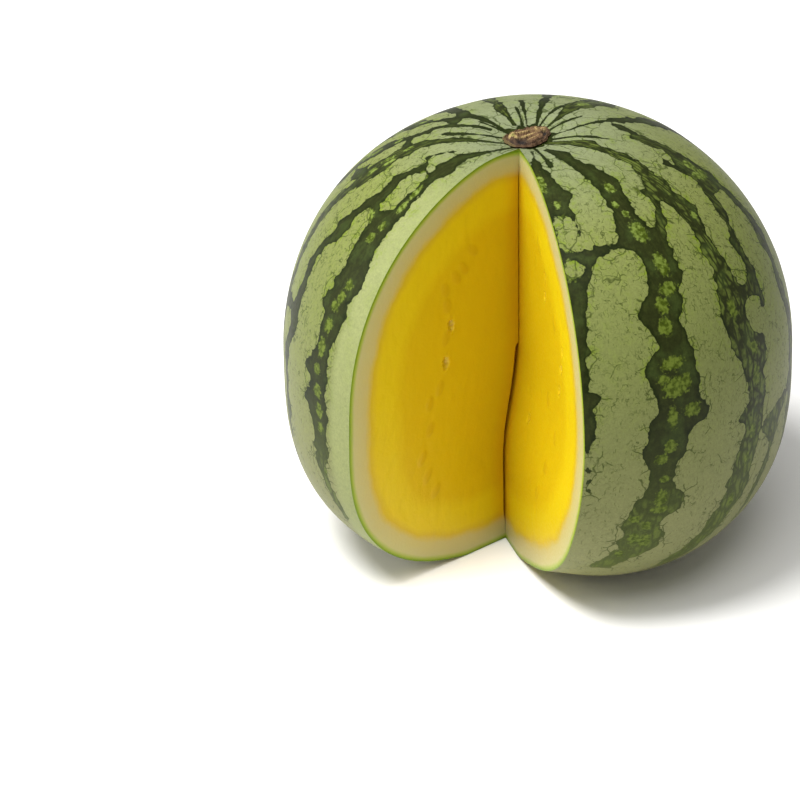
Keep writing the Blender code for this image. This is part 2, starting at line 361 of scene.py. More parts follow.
stripes = {
    "besideCut": ((15, 4, 6), (20, 3, 6.5), (25, 2, 6.5), (30, 2, 7.2), (33, 1, 8), (36, 0, 10.5),
        (40, 1, 12), (45, 2, 13.5), (48, 3, 15), (51, 5, 20), (53, 5, 17.5), (60, 5, 16), (78, 6, 15.7),
        (80, 7, 21), (84, 7, 18.4), (88, 7.5, 17), (92, 8, 15.4), (96, 8.5, 13.8), (104, 9, 13.6),
        (112, 8.5, 12.2), (120, 8.5, 11.8), (122, 8.5, 13.5), (125, 8.5, 11.8), (139, 9, 11.6),
        (142, 9, 16), (145, 9, 12.6), (150, 9, 12), (154, 9.5, 13.2), (160, 9.6, 11.8), (175, 10.6, 11.6),
        (190, 11.2, 11.7)),
    "front": ((16, 22, 30), (20, 23, 36), (25, 26, 39.5), (30, 27.5, 39.5), (35, 29, 38.5), (40, 31.5, 41),
        (45, 32.7, 43.2), (49, 33, 46.8), (52, 32.6, 45.5), (55, 32, 43), (60, 32, 41), (65, 32.6, 40.8),
        (68, 31, 40.4), (72, 29.8, 40.3), (77, 29.5, 40.6), (80, 25, 46), (82, 30, 45.6), (85, 32.6, 44.6),
        (90, 33.6, 43.6), (95, 32.5, 43), (100, 31.5, 43.8), (103, 30.6, 40.6), (106, 28, 40),
        (110, 26, 39.4), (113, 26.2, 38.6), (116, 27.8, 37.2), (121, 29.4, 37), (126, 29.4, 37.2),
        (130, 26.6, 38), (135, 25.4, 38.6), (140, 25.8, 39.2), (143, 27, 38.6), (150, 28, 38.4),
        (153, 27.3, 39), (156, 25.4, 40.8), (160, 25, 39.6), (163, 24.8, 35.4), (168, 23.2, 34.8),
        (172, 23.4, 34.9), (177, 25, 32.6), (182, 25.4, 31.1), (187, 24.8, 30.6), (191, 24.4, 31.8),
        (195, 23.7, 33.6), (198, 22, 34.5), (203, 21.3, 33.8), (206, 20.8, 29.8), (209, 19.5, 28.8),
        (213, 19.6, 29.3), (216, 20, 31), (220, 19.9, 29), (224, 19.4, 30), (227, 18, 28.5),
        (230, 16.8, 25), (234, 15.6, 23), (240, 14.4, 20)),
    "frontLink": ((79.4, 19.5, 26), (81, 20.5, 30)),
    "rightShoulder": ((10, 46, 62), (15, 50, 64), (20, 52.5, 66), (25, 55.5, 69), (29, 57, 71.5),
        (33, 58.3, 66.5), (40, 59.3, 66.4), (45, 60, 67), (50, 59.5, 66), (55, 57.3, 65.6), (60, 54, 65.4),
        (64, 51.5, 65.2), (67, 52, 64), (70, 56, 63.2), (75, 57, 64.4), (80, 57, 65), (84, 56.3, 62.2),
        (90, 55, 60.4), (100, 54, 60), (106, 53.3, 59.8), (112, 52, 60.2), (117, 50.8, 61.5),
        (120, 50.5, 66), (124, 50.3, 59.5), (130, 50.4, 58.6), (135, 49.8, 59.4), (138, 50.4, 61),
        (143, 52, 64), (148, 52.9, 64.2), (152, 53.6, 62.8), (158, 54.4, 61), (165, 55, 61.7),
        (168, 51, 61.3), (170, 49.2, 61), (173, 52.6, 61.3), (178, 52.6, 60.8), (182, 51.4, 60.4),
        (186, 50.3, 58), (191, 49.5, 58.2), (195, 49.8, 58), (198, 47.6, 56.2), (200, 46, 56),
        (203, 48, 56.2), (208, 46.6, 55.7), (213, 45, 55), (217, 43.6, 52), (220, 42.5, 50.2),
        (225, 40.4, 49), (230, 38.4, 47), (236, 36, 44.5), (246, 34, 40)),
    "rightShoulderLink": ((62, 51, 55), (66, 50.3, 53.4), (71, 48.6, 51.8), (76, 46.6, 49.6),
        (79, 43, 48.6), (82, 41, 46)),
    "thinRight": ((78, 75, 79), (82, 74, 78), (86, 73.2, 76.3), (90, 72, 75.5), (95, 70, 73),
        (100, 67.7, 70.8), (105, 67.5, 70.2), (112, 67.3, 70), (116, 66, 70), (119, 61, 69.7),
        (122, 62, 69.3), (125, 66, 68.6), (130, 66.6, 68)),
    "farRight": ((44, 88, 95), (50, 87.2, 95), (55, 87.6, 94), (60, 85, 93), (63, 80, 92), (68, 78.3, 91),
        (73, 78.8, 90), (77, 76.6, 90), (80, 74, 92), (83, 79, 88), (85, 85, 88), (90, 85.3, 88.6),
        (95, 85, 88.2), (105, 84.3, 88), (109, 82, 88), (113, 81.2, 88), (117, 82, 86), (120, 81.8, 85.2),
        (125, 81, 84.4), (130, 79.6, 83.6), (136, 78.8, 83.6), (142, 80, 84), (150, 80, 84)),
    "farRightFleck": ((60, 76.4, 78.4), (66, 77.6, 80.4)),
    "lowRightLoop": ((178, 70.5, 73.5), (180, 60, 76), (184, 60, 73), (188, 62.6, 69.6), (190, 64.8, 69),
        (195, 64.6, 68.5), (198, 64.4, 67), (205, 62.4, 65.2), (210, 61.2, 63.8), (220, 59.4, 61.4)),
    "leftOfCut": ((24, -48, -43.5), (28, -51, -46), (32, -55, -48.5), (35, -59.5, -50.6), (40, -60, -50.8),
        (45, -60.5, -50.4), (50, -60, -51), (53, -57.4, -52), (60, -56.4, -52), (65, -57, -52),
        (75, -57, -52.5), (77, -68, -52), (80, -70, -51.6), (82, -64, -51.6), (85, -62, -51.8),
        (88, -62.4, -52), (95, -61.6, -52), (105, -60.6, -51.5), (110, -60.6, -51), (115, -61, -51.5),
        (120, -61.5, -53), (124, -63, -53), (128, -60, -53), (133, -59.6, -53.4), (138, -59.6, -54),
        (143, -60, -54.2), (150, -61, -54.8), (154, -63.2, -54.1), (159, -60.6, -54), (165, -61, -54),
        (169, -63, -54), (172, -61, -53.6), (176, -59.4, -53.7), (185, -58.5, -54.3)),
    "leftLoopTop": ((51, -66.5, -57), (54, -67, -58)),
    "leftSecond": ((50, -67.5, -65.5), (53, -68.5, -66), (57, -70.6, -66.6), (61, -72.2, -67),
        (65, -73.4, -67), (70, -71.6, -65), (75, -71, -64.5), (78, -71.5, -67), (80, -72, -69.5),
        (86, -73.1, -70.5), (90, -74.5, -69.8), (93, -75.4, -68), (96, -75.6, -69.6), (100, -74, -70.5),
        (104, -75, -72), (109, -77.2, -73.4), (118, -77.5, -74), (122, -76.8, -73.4), (130, -75.5, -72.5),
        (135, -76.5, -72), (140, -78, -71.5), (144, -76.8, -71.5), (148, -75.4, -72), (152, -76, -73.4),
        (158, -78, -74), (163, -78, -73.6), (168, -77, -74.2), (180, -75.6, -74)),
    "leftThird": ((12, -66, -60), (17, -71, -65), (22, -76, -70), (27, -81, -74.5), (32, -85.5, -78.5),
        (38, -88.5, -80), (42, -90, -83), (47, -92.4, -84.6), (52, -94, -85.5), (57, -94, -84),
        (67, -93.5, -83.5), (78, -92, -84), (85, -91.4, -86.5), (100, -92.4, -88), (110, -92, -87.6),
        (120, -90.5, -86), (130, -89, -85), (140, -88.5, -84)),
    "leftThirdLink": ((53, -104, -94), (56, -102, -93)),
    "leftThirdLowLink": ((77, -95, -90), (81, -99, -90.5), (86, -104, -94)),
    "leftLowLink": ((139.5, -83, -76), (143, -88, -80), (147, -89, -84.5)),
    "leftFourth": ((17, -110, -102), (22, -109, -103), (35, -109, -105), (42, -110, -106), (45, -108, -102),
        (52, -105, -101), (58, -106, -102)),
    "crownLines": ((9, 117, 124), (16, 119, 123), (26, 121, 123)),
    "crownLineBack": ((9, 149, 156), (16, 151, 155), (25, 150, 152.5), (34, 148, 149.5)),
    "crownLineLeft": ((9, -121, -112), (15, -117, -113), (24, -118, -116)),
    "crownLineFarLeft": ((9, -92, -84), (15, -89, -84), (26, -91, -88), (40, -98, -95)),
    "crownLineBackLeft": ((9, 190, 197), (17, 191.5, 195), (27, 193, 195)),
    "crownLineFront": ((9, 10, 17), (15, 12.5, 16.5), (24, 13.5, 15.5), (32, 15, 16.5)),
    "crownLineRight": ((9, 66, 76), (15, 72, 77), (22, 76, 79), (34, 77.5, 79.5)),
    "crownLineCut": ((9, -38, -28), (15, -42, -36), (22, -46, -42)),
    "leftFleck": ((36, -67, -65.6), (41, -71, -69.4), (46, -74, -71.6)),
    "backRight": ((10, 92, 97), (18, 95, 99), (20, 98, 102), (27, 103, 108), (35, 107, 112), (40, 108, 116),
        (52, 113, 120), (60, 114, 124), (68, 117, 126)),
    "backRightBranch": ((36, 101, 109), (40, 97, 104), (45, 91, 97)),
    "backSecond": ((10, 131, 136), (20, 133, 142), (30, 135, 150), (40, 136, 151), (50, 134, 150),
        (60, 141, 152), (70, 145, 156)),
    "backMiddle": ((12, 158, 166), (20, 165, 170), (30, 167, 172), (40, 168, 173), (50, 169, 175),
        (60, 170, 177), (70, 173, 179)),
    "backThin": ((10, 181, 185), (18, 184, 187), (24, 185, 188), (32, 186, 188)),
    "backThird": ((12, 205, 215), (20, 206, 212), (25, 203, 214), (30, 202, 211), (40, 201, 207),
        (50, 200, 206), (60, 198, 204), (70, 195, 201), (80, 191, 198)),
    "backLeft": ((10, 236, 248), (15, 236, 241), (25, 233, 240), (30, 231, 238), (35, 229, 243),
        (40, 226, 233), (50, 221, 228), (60, 217, 226)),
    "backLeftBranch": ((34, 238, 250), (38, 239, 247), (45, 239.5, 244), (54, 238, 243)),
}
# Openings of pale skin in the stripes: azimuth, arc, half width in degrees, half height in mm
openings = ((12.1, 70, 4.3, 9), (11.4, 87, 2.5, 4.4), (-60.6, 60.5, 3.6, 6.2), (-61.5, 74, 2.6, 2.6))
# Stripes that run on where the photo doesn't reach: arc where they end, mean width in mm, drift in degrees
stripesRunOn = {
    "farRight": (226, 9, -6), "leftOfCut": (224, 9, 4), "leftSecond": (216, 7, 3), "leftThird": (224, 8, 2),
    "leftFourth": (150, 6, -3), "backRight": (228, 12, -6), "backSecond": (232, 12, -4),
    "backMiddle": (226, 11, 3), "backThird": (230, 12, 4), "backLeft": (234, 12, 9),
    "backLeftBranch": (205, 9, 4), "lowRightLoop": (232, 5, -3),
}
# Stripes that are bundles of lengthwise strands, from 0 to 1
strandShare = {"rightShoulder": 1.0, "rightShoulderLink": 0.6, "lowRightLoop": 0.9, "thinRight": 0.5,
               "leftThird": 0.5, "backSecond": 0.7, "backThird": 0.8, "farRight": 0.5}
# Pale islands in the stripes: azimuth, arc, half width in degrees, half height in mm
islands = (
    (12, 70, 4, 9), (10.8, 87.5, 2.5, 5), (11, 55.5, 1.8, 2.4), (5, 43, 3.2, 7), (38.5, 53, 2.6, 3),
    (35, 62, 1.6, 2), (36.5, 67.5, 1.6, 2), (37, 77, 3, 5.5), (38.3, 92.5, 2.2, 6), (37, 102.7, 3, 3),
    (33.6, 108.5, 2, 4), (32.8, 117.5, 2.2, 4.2), (32.5, 133, 3.4, 3), (29.3, 138.5, 1.5, 2),
    (32.5, 143, 3.8, 5), (35.3, 142, 1.4, 4), (36, 155, 2.5, 3.5), (31, 156, 1.4, 5.5),
    (30.3, 169, 1.6, 3.5), (28, 175, 1.8, 3), (29, 186, 1.5, 2), (28.3, 195.5, 1.7, 4.5),
    (28, 201.5, 2.6, 1.8), (22.4, 206, 1.6, 2.2), (25.5, 210, 1.4, 2.5), (23, 217.5, 1.6, 4),
    (26, 219, 1.6, 4.5), (20.5, 227.5, 1.4, 2.5), (54.5, 122.5, 1.6, 4.5), (61.4, 81.5, 1.3, 2),
    (58.5, 143, 1.4, 3), (58, 155, 1.5, 5), (56, 180, 1.2, 5), (54, 192, 1.2, 4), (50, 210, 1.4, 4),
    (86, 69, 2.6, 3.2), (85.5, 75.5, 3.8, 3.2), (82, 73, 2, 2), (-63, 53, 2.2, 1.4), (-59, 53.6, 1.8, 1.6),
    (-55, 62, 1.6, 5), (-54.8, 71, 1.5, 4), (-56.3, 83, 1.6, 2.6), (-57.5, 90, 1.6, 3),
    (-55.2, 112, 1.6, 2.6), (-56, 118, 1.4, 3), (-57, 123, 1.8, 2.4), (-57, 132, 1.6, 3.4),
    (-57.6, 142, 1.5, 5), (-58, 152.5, 1.4, 3), (-57.2, 162, 1.6, 3.6), (-56.4, 171, 1.3, 4),
    (-56, 179, 1.3, 3), (-65.5, 84.5, 3.4, 5), (-91, 54, 1.5, 3), (-90.5, 64, 1.6, 4), (-87, 64, 1.5, 4),
    (-88.5, 73, 2, 3), (143, 38, 3, 4), (146, 57, 2.2, 4),
)


# How the stripes run on: step in mm, where they taper and by how much, the spread of half widths and leans,
# and the islands' chance, least half width of the stripe, and sizes in mm
wander = {
    "step": 6.5, "taperFrom": 185.0, "taper": 0.75, "drift": 1.0, "half": (0.34, 0.66), "lean": 0.25,
    "islandChance": 0.55, "islandNeeds": 3.2, "islandAside": 0.3, "islandBack": (0.0, 4.0),
    "islandWide": (1.3, 2.6), "islandHigh": (2.0, 4.5),
}
stripeEdge = {
    # mm: what stands for far from any stripe, the step at which the tables are smoothed and how far that goes
    # beyond their ends, and the reach of a stripe past its last row
    "farInside": -40.0, "step": 0.5, "beyond": 4.0, "endReach": 0.8,
    "rounding": (1.0, 2.0, 4.0, 6.0, 7.0, 6.0, 4.0, 2.0, 1.0),
    # painted shade round the stem, a dark ring of skin where it dips into the stem's hollow: arc where it
    # ends in mm, and height, count and phase of its waves
    "paintedStemShade": 10.2, "paintedStemShadeWaves": ((0.7, 5.0, 0.0), (0.8, 11.0, 1.0)),
    "islandRim": (1.55, 0.25), "plainStrands": 0.08, "lowStrands": 0.85, "lowStrandArcs": (182.0, 206.0),
    # where a painted highlight lies on the skin beside the left-hand cut: azimuths, and arcs over which it
    # sets in
    "pallorFrom": (-54.0, -50.5), "paintedHighlightTo": -20.0, "paintedHighlightArcs": (30.0, 75.0),
}


def runOn(rowsRead, endArc, width, drift, draw):
    # Carries a stripe on from its last read row, wandering and swelling, with islands along it.
    arc, left, right = rowsRead[-1]
    middle, grown, pale = (left + right) / 2.0, list(rowsRead), []
    taperFrom = wander["taperFrom"]
    steps = max(int((endArc - arc) / wander["step"]), 1)
    for step in range(1, steps + 1):
        arcNow = arc + (endArc - arc) * step / steps
        perDegree = math.radians(np.interp(arcNow, fineArcs, fineR) / mm)
        middle += drift / steps + draw.uniform(-wander["drift"], wander["drift"])
        taper = 1.0
        if endArc > taperFrom + 1.0:
            taper -= wander["taper"] * max((arcNow - taperFrom) / (endArc - taperFrom), 0.0)
        half = width * taper * draw.uniform(*wander["half"]) / perDegree
        lean = draw.uniform(-wander["lean"], wander["lean"]) * half
        grown.append((arcNow, middle - half + lean, middle + half + lean))
        if draw.random() < wander["islandChance"] and half * perDegree > wander["islandNeeds"]:
            aside = draw.uniform(-wander["islandAside"], wander["islandAside"]) * half
            back = draw.uniform(*wander["islandBack"])
            wide, high = draw.uniform(*wander["islandWide"]), draw.uniform(*wander["islandHigh"])
            pale.append((middle + lean + aside, arcNow - back, wide / perDegree, high))
    return grown, pale


def stripePlace(x, y, z, arc):
    # Azimuth and arc counted round the stem, which sits a little beside the axis.
    form = melonForm
    level = np.clip((z - form["widestLevel"]) / form["topRise"], 0.0, 1.0)
    shiftX, shiftY = (part * level for part in form["stemPlace"])
    share = np.hypot(x, y) / form["radius"]
    for _ in range(3):
        nearX, nearY = x - shiftX * (1.0 - share), y - shiftY * (1.0 - share) ** 4
        share = np.hypot(nearX, nearY) / form["radius"]
    azimuth = np.degrees(np.arctan2(nearX, -nearY))
    crown = fineZ > form["widestLevel"]
    nearArc = np.interp(share, fineR[crown] / form["radius"], fineArcs[crown])
    weight = smoothStep(0.85, 0.65, share) * (z > form["widestLevel"])
    return azimuth, arc + (nearArc - arc) * weight


def stripeField(azimuth, arc, ringRadius):
    # Distance into a stripe in mm, below zero in the pale skin, how much of an island a point is, and how
    # far its stripe is a bundle of strands.
    facts, draw = stripeEdge, random.Random(41)
    perDegree = np.radians(np.maximum(ringRadius / mm, 4.0))
    paleSpots = list(islands)
    dark, strands = np.full(azimuth.shape, facts["farInside"]), np.zeros(azimuth.shape)
    rounding = np.array(facts["rounding"]) / sum(facts["rounding"])
    for name, rowsRead in stripes.items():
        if name in stripesRunOn:
            rowsRead, more = runOn(rowsRead, *stripesRunOn[name], draw)
            paleSpots += more
        table = np.array(rowsRead, dtype=float)
        middle = (table[:, 1].mean() + table[:, 2].mean()) / 2.0
        turned = (azimuth - middle + 180.0) % 360.0 - 180.0 + middle
        steps = np.arange(table[0, 0] - facts["beyond"], table[-1, 0] + facts["beyond"], facts["step"])
        edges = []
        for edge in table[:, 1:].T:
            read = np.pad(np.interp(steps, table[:, 0], edge), len(rounding) // 2, mode="edge")
            edges.append(np.interp(arc, steps, np.convolve(read, rounding, mode="valid")))
        across = np.minimum(turned - edges[0], edges[1] - turned) * perDegree
        along = np.minimum(arc - table[0, 0], table[-1, 0] - arc) + facts["endReach"]
        inside = np.minimum(across, along)
        strands = np.where(inside > dark, strandShare.get(name, facts["plainStrands"]), strands)
        dark = np.maximum(dark, inside)
    # painted shade: a dark ring of skin round the stem, where it dips into the stem's hollow
    paintedStemShade = sum((height * np.sin(np.radians(azimuth) * count + phase)
                  for height, count, phase in facts["paintedStemShadeWaves"]), facts["paintedStemShade"]) - arc
    dark = np.maximum(dark, paintedStemShade)

    def reachOf(spotAzimuth, spotArc, halfWidth, halfHeight):
        # 0 in the middle of an oval spot, 1 on its edge.
        turned = (azimuth - spotAzimuth + 180.0) % 360.0 - 180.0
        return np.hypot(turned / halfWidth, (arc - spotArc) / halfHeight)

    for spot in openings:
        dark = np.minimum(dark, (reachOf(*spot) - 1.0) * np.minimum(spot[2] * perDegree, spot[3]))
    island = np.zeros(azimuth.shape)
    for spot in paleSpots:
        island = np.maximum(island, smoothStep(*facts["islandRim"], reachOf(*spot)))
    strands = np.maximum(strands, facts["lowStrands"] * smoothStep(*facts["lowStrandArcs"], arc))
    return dark, island, strands


def makeSkin(material):
    form = melonForm
    columns, few, thickness = form["columns"], form["innerColumns"], form["skinThickness"]
    outer, inner = skinGrid(columns), sunkIn(skinGrid(few), thickness)
    closed, rowCount = rows["closed"], len(outer)
    rowArcs = np.concatenate([rows["arcs"], cornerArc + (cornerRadius - rows["baseRadii"]) / mm])
    arcs = np.repeat(rowArcs[:, None], columns + 1, axis=1)
    edge = np.minimum(np.arange(columns + 1), columns - np.arange(columns + 1))
    calm = np.ones(arcs.shape)
    calm[closed - 1:] = smoothStep(0.0, form["calmColumns"], edge)[None, :]
    calm[len(rows["angles"]) - 1:] = 0.0
    wave = np.array([noise.noise(Vector(p) * form["waves"])
                     + form["fineShare"] * noise.noise(Vector(p) * form["fineWaves"])
                     for p in outer.reshape(-1, 3)]).reshape(calm.shape)
    outer = sunkIn(outer, (form["waviness"] * (form["waveBase"] + wave) * calm)[..., None])

    openRows = np.arange(rowCount)
    footRow = len(rows["angles"]) + form["baseRows"] - 1
    isClosed = (openRows < closed) | (openRows >= footRow)
    index = np.arange(rowCount * (columns + 1)).reshape(rowCount, columns + 1)
    innerIndex = index.size + np.arange(rowCount * (few + 1)).reshape(rowCount, few + 1)
    for ids in (index, innerIndex):
        ids[isClosed, -1] = ids[isClosed, 0]
    shared = (openRows >= closed - 1) & (openRows <= footRow)
    innerIndex[shared, 0] = index[shared, 0]
    innerIndex[shared, -1] = index[shared, -1]
    poleZ = outside(np.array([1e-5]), np.array([0.0]))[2][0]
    poles = [(0.0, 0.0, level) for level in (poleZ, 0.0, poleZ - thickness, thickness)]
    points = np.concatenate([outer.reshape(-1, 3), inner.reshape(-1, 3), poles])
    top, foot, innerTop, innerFoot = range(len(points) - 4, len(points))
    parts = [gridFaces(index, (0.0, 0.06, 1.0, 0.995)),
             gridFaces(innerIndex[:, ::-1], (0.0, 0.005, 1.0, 0.045)),
             fanFaces(top, index[0], ((0.5, 1.0), (0.5, 0.996), (0.503, 0.996))),
             fanFaces(foot, index[-1], ((0.5, 0.055), (0.5, 0.06), (0.503, 0.06)), True),
             fanFaces(innerTop, innerIndex[0], ((0.5, 0.05), (0.5, 0.046), (0.52, 0.046)), True),
             fanFaces(innerFoot, innerIndex[-1], ((0.5, 0.0), (0.5, 0.004), (0.52, 0.004)))]

    azimuth, arc = stripePlace(outer[..., 0], outer[..., 1], outer[..., 2], arcs)
    dark, island, strands = stripeField(azimuth, arc, np.interp(arc, fineArcs, fineR))
    # Paler skin beside the left-hand cut, high on the left: a painted highlight
    pallor = smoothStep(*stripeEdge["pallorFrom"], azimuth) * (azimuth < stripeEdge["paintedHighlightTo"]) * smoothStep(
        *stripeEdge["paintedHighlightArcs"], arc)
    turn = np.radians(azimuth)
    around = np.stack([100.0 * np.sin(turn), -100.0 * np.cos(turn), arc], axis=-1)
    attributes = {}
    for label, values, fill in (("stripe", dark, -20.0), ("island", island, 0.0), ("arc", arc, 0.0),
                                ("strands", strands, 0.0), ("pallor", pallor, 0.0), ("around", around, 0.0)):
        rest = np.full((len(points) - arcs.size,) + values.shape[2:], fill)
        attributes[label] = np.concatenate([values.reshape(-1, *values.shape[2:]), rest])
    return makePiece("rind", points, parts, attributes, material, 50.0), outer


# The cut faces

flesh = {
    "columns": 108, "innerColumns": 14, "hiddenDepth": 0.0020, "wallColumns": 4,
    "crowding": 0.80,            # under 1 sets the columns closer together towards the skin
    "outlineSteps": 4, "footBack": 0.018, "footUp": 0.004,
    # heights in mm, sizes in mm across and up, and mm under the skin where the relief sets in
    "knifeWaves": 0.10, "waveSize": (22.0, 60.0), "grain": 0.05, "grainSize": (2.6, 5.0),
    "fineShare": 0.6, "fineSize": (1.1, 1.9), "grainDepths": (5.0, 12.0),
    "torn": 0.25, "tornSize": (5.0, 11.0), "tornFrom": 0.15, "tornDepths": (10.0, 16.0),
    "sideLevel": {"left": 7.0, "right": 0.0}, "rimDepths": (0.4, 3.0), "slitRim": (0.0, 2.0),
    # mm out from the meeting line of the cuts, mm up, and lean in degrees
    "leftSeeds": ((26, 150, 38), (31, 143, 35), (35, 140, 30), (41, 136, 18), (40, 128, 12), (41, 113, -6),
                  (44, 90, -4), (49, 84, 4), (47, 71, -5), (49, 58, -14), (45, 48, -22), (40, 39, -34)),
    "rightSeeds": ((30, 158, 30), (52, 132, 14), (44, 92, -6), (57, 80, -4), (50, 62, -16), (43, 46, -28)),
    "leftPockets": ((38, 118, 4), (41, 101, 3)),
    "rightPockets": ((38, 147, 8), (38, 138, 6), (63, 124, 5), (61, 115, 2), (59, 104, -3), (22, 71, -8)),
    "seedHalf": (2.2, 3.9), "seedProud": 0.30,
    "pocketHalf": {"left": (1.7, 3.6), "right": (1.0, 2.8)}, "pocketDepth": {"left": 1.3, "right": 0.6},
    "pocketLip": 0.22, "lipReach": 1.15, "lipHalf": 0.16,
    # what the colours of the slit's wall and of the face on the left are told apart by
    "wallPlace": (-6.0, 90.0, 80.0), "leftPlace": 40.0, "deep": 25.0,
}


def ovalReach(out, up, place, half, side):
    # 0 in the middle of a leaning oval on a cut face, 1 on its edge.
    lean = math.radians(place[2]) * (1.0 if side == "left" else -1.0)
    across, along = out - place[0], up - place[1]
    return np.hypot((across * math.cos(lean) - along * math.sin(lean)) / half[0],
                    (across * math.sin(lean) + along * math.cos(lean)) / half[1])


def faceRelief(out, up, depth, fromSlit, side):
    # Height of a cut face over its plane in mm, with the tint and gloss of the seeds in it.
    height, seed, pocket = np.zeros_like(out), np.zeros_like(out), np.zeros_like(out)
    for place in flesh[side + "Seeds"]:
        reach = ovalReach(out, up, place, flesh["seedHalf"], side)
        height += flesh["seedProud"] * np.sqrt(np.clip(1.0 - reach ** 2, 0.0, 1.0))
        seed = np.maximum(seed, smoothStep(1.15, 0.75, reach))
    deep = flesh["pocketDepth"][side]
    for place in flesh[side + "Pockets"]:
        wobble = 1.0 + 0.16 * np.sin(3.1 * (up - place[1])) + 0.12 * np.sin(4.3 * (out - place[0]) + 1.0)
        reach = ovalReach(out, up, place, flesh["pocketHalf"][side], side) * wobble
        height -= deep * smoothStep(1.0, 0.35, reach)
        height += flesh["pocketLip"] * deep * np.exp(-((reach - flesh["lipReach"]) / flesh["lipHalf"]) ** 2)
        pocket = np.maximum(pocket, smoothStep(1.3, 0.8, reach))
    waves, grain, fine, torn = (
        noiseAt(out / flesh[size][0], up / flesh[size][1], flesh["sideLevel"][side] + level)
        for size, level in (("waveSize", 0.0), ("grainSize", 3.0), ("fineSize", 5.0), ("tornSize", 9.0)))
    height += flesh["knifeWaves"] * waves
    height += flesh["grain"] * (grain + flesh["fineShare"] * fine) * smoothStep(*flesh["grainDepths"], depth)
    torn = np.clip(torn - flesh["tornFrom"], 0.0, 1.0)
    height -= flesh["torn"] * torn * smoothStep(*flesh["tornDepths"], depth)
    height *= smoothStep(*flesh["rimDepths"], depth) * smoothStep(*flesh["slitRim"], fromSlit)
    return height, seed, pocket


def cutFace(edge, side, top):
    # Grid of one cut face from the slit to the skin's edge, with what its colours need.
    z = edge[:, 2]
    ax, ay = apexAt(z)
    dx, dy = cutDirection(side)
    width, depth = slitSize(z, top)
    mouth = width / math.sin(math.radians(cut["rightAzimuth"] - cut["leftAzimuth"]))
    start = -depth if side == "right" else mouth
    inner = np.stack([ax + dx * start, ay + dy * start, z], axis=-1)
    share = np.linspace(0.0, 1.0, flesh["columns"] + 1) ** flesh["crowding"]
    grid = inner[:, None] + (edge - inner)[:, None] * share[None, :, None]
    fromApexX, fromApexY = grid[..., 0] - ax[:, None], grid[..., 1] - ay[:, None]
    out = np.hypot(fromApexX, fromApexY) / mm
    out = np.where(fromApexX * dx + fromApexY * dy < 0.0, -out, out)
    up = grid[..., 2] / mm

    # how far each point lies under the skin, by a finely stepped outline
    outline = np.stack([out[:, -1], up[:, -1]], axis=-1)
    count = len(outline) * flesh["outlineSteps"]
    tree = kdtree.KDTree(count)
    for k, place in enumerate(np.linspace(0.0, len(outline) - 1.0, count)):
        low = min(int(place), len(outline) - 2)
        spot = outline[low] + (outline[low + 1] - outline[low]) * (place - low)
        tree.insert(Vector((spot[0], spot[1], 0.0)), k)
    tree.balance()
    under = np.array([tree.find((o, u, 0.0))[2] for o, u in zip(out.ravel(), up.ravel())]).reshape(out.shape)
    under = np.minimum(under, np.maximum(up, 0.0))
    fromSlit = np.hypot(grid[..., 0] - inner[:, :1], grid[..., 1] - inner[:, 1:2]) / mm
    relief, seed, pocket = faceRelief(out, up, under, fromSlit, side)
    away = np.array([dy, -dx, 0.0]) if side == "right" else np.array([-dy, dx, 0.0])
    place = np.stack([out, up, np.full_like(out, flesh["leftPlace"] if side == "left" else 0.0)], axis=-1)
    facts = {"depth": under, "seed": seed, "pocket": pocket, "place": place}
    return grid + away * (relief * mm)[..., None], facts


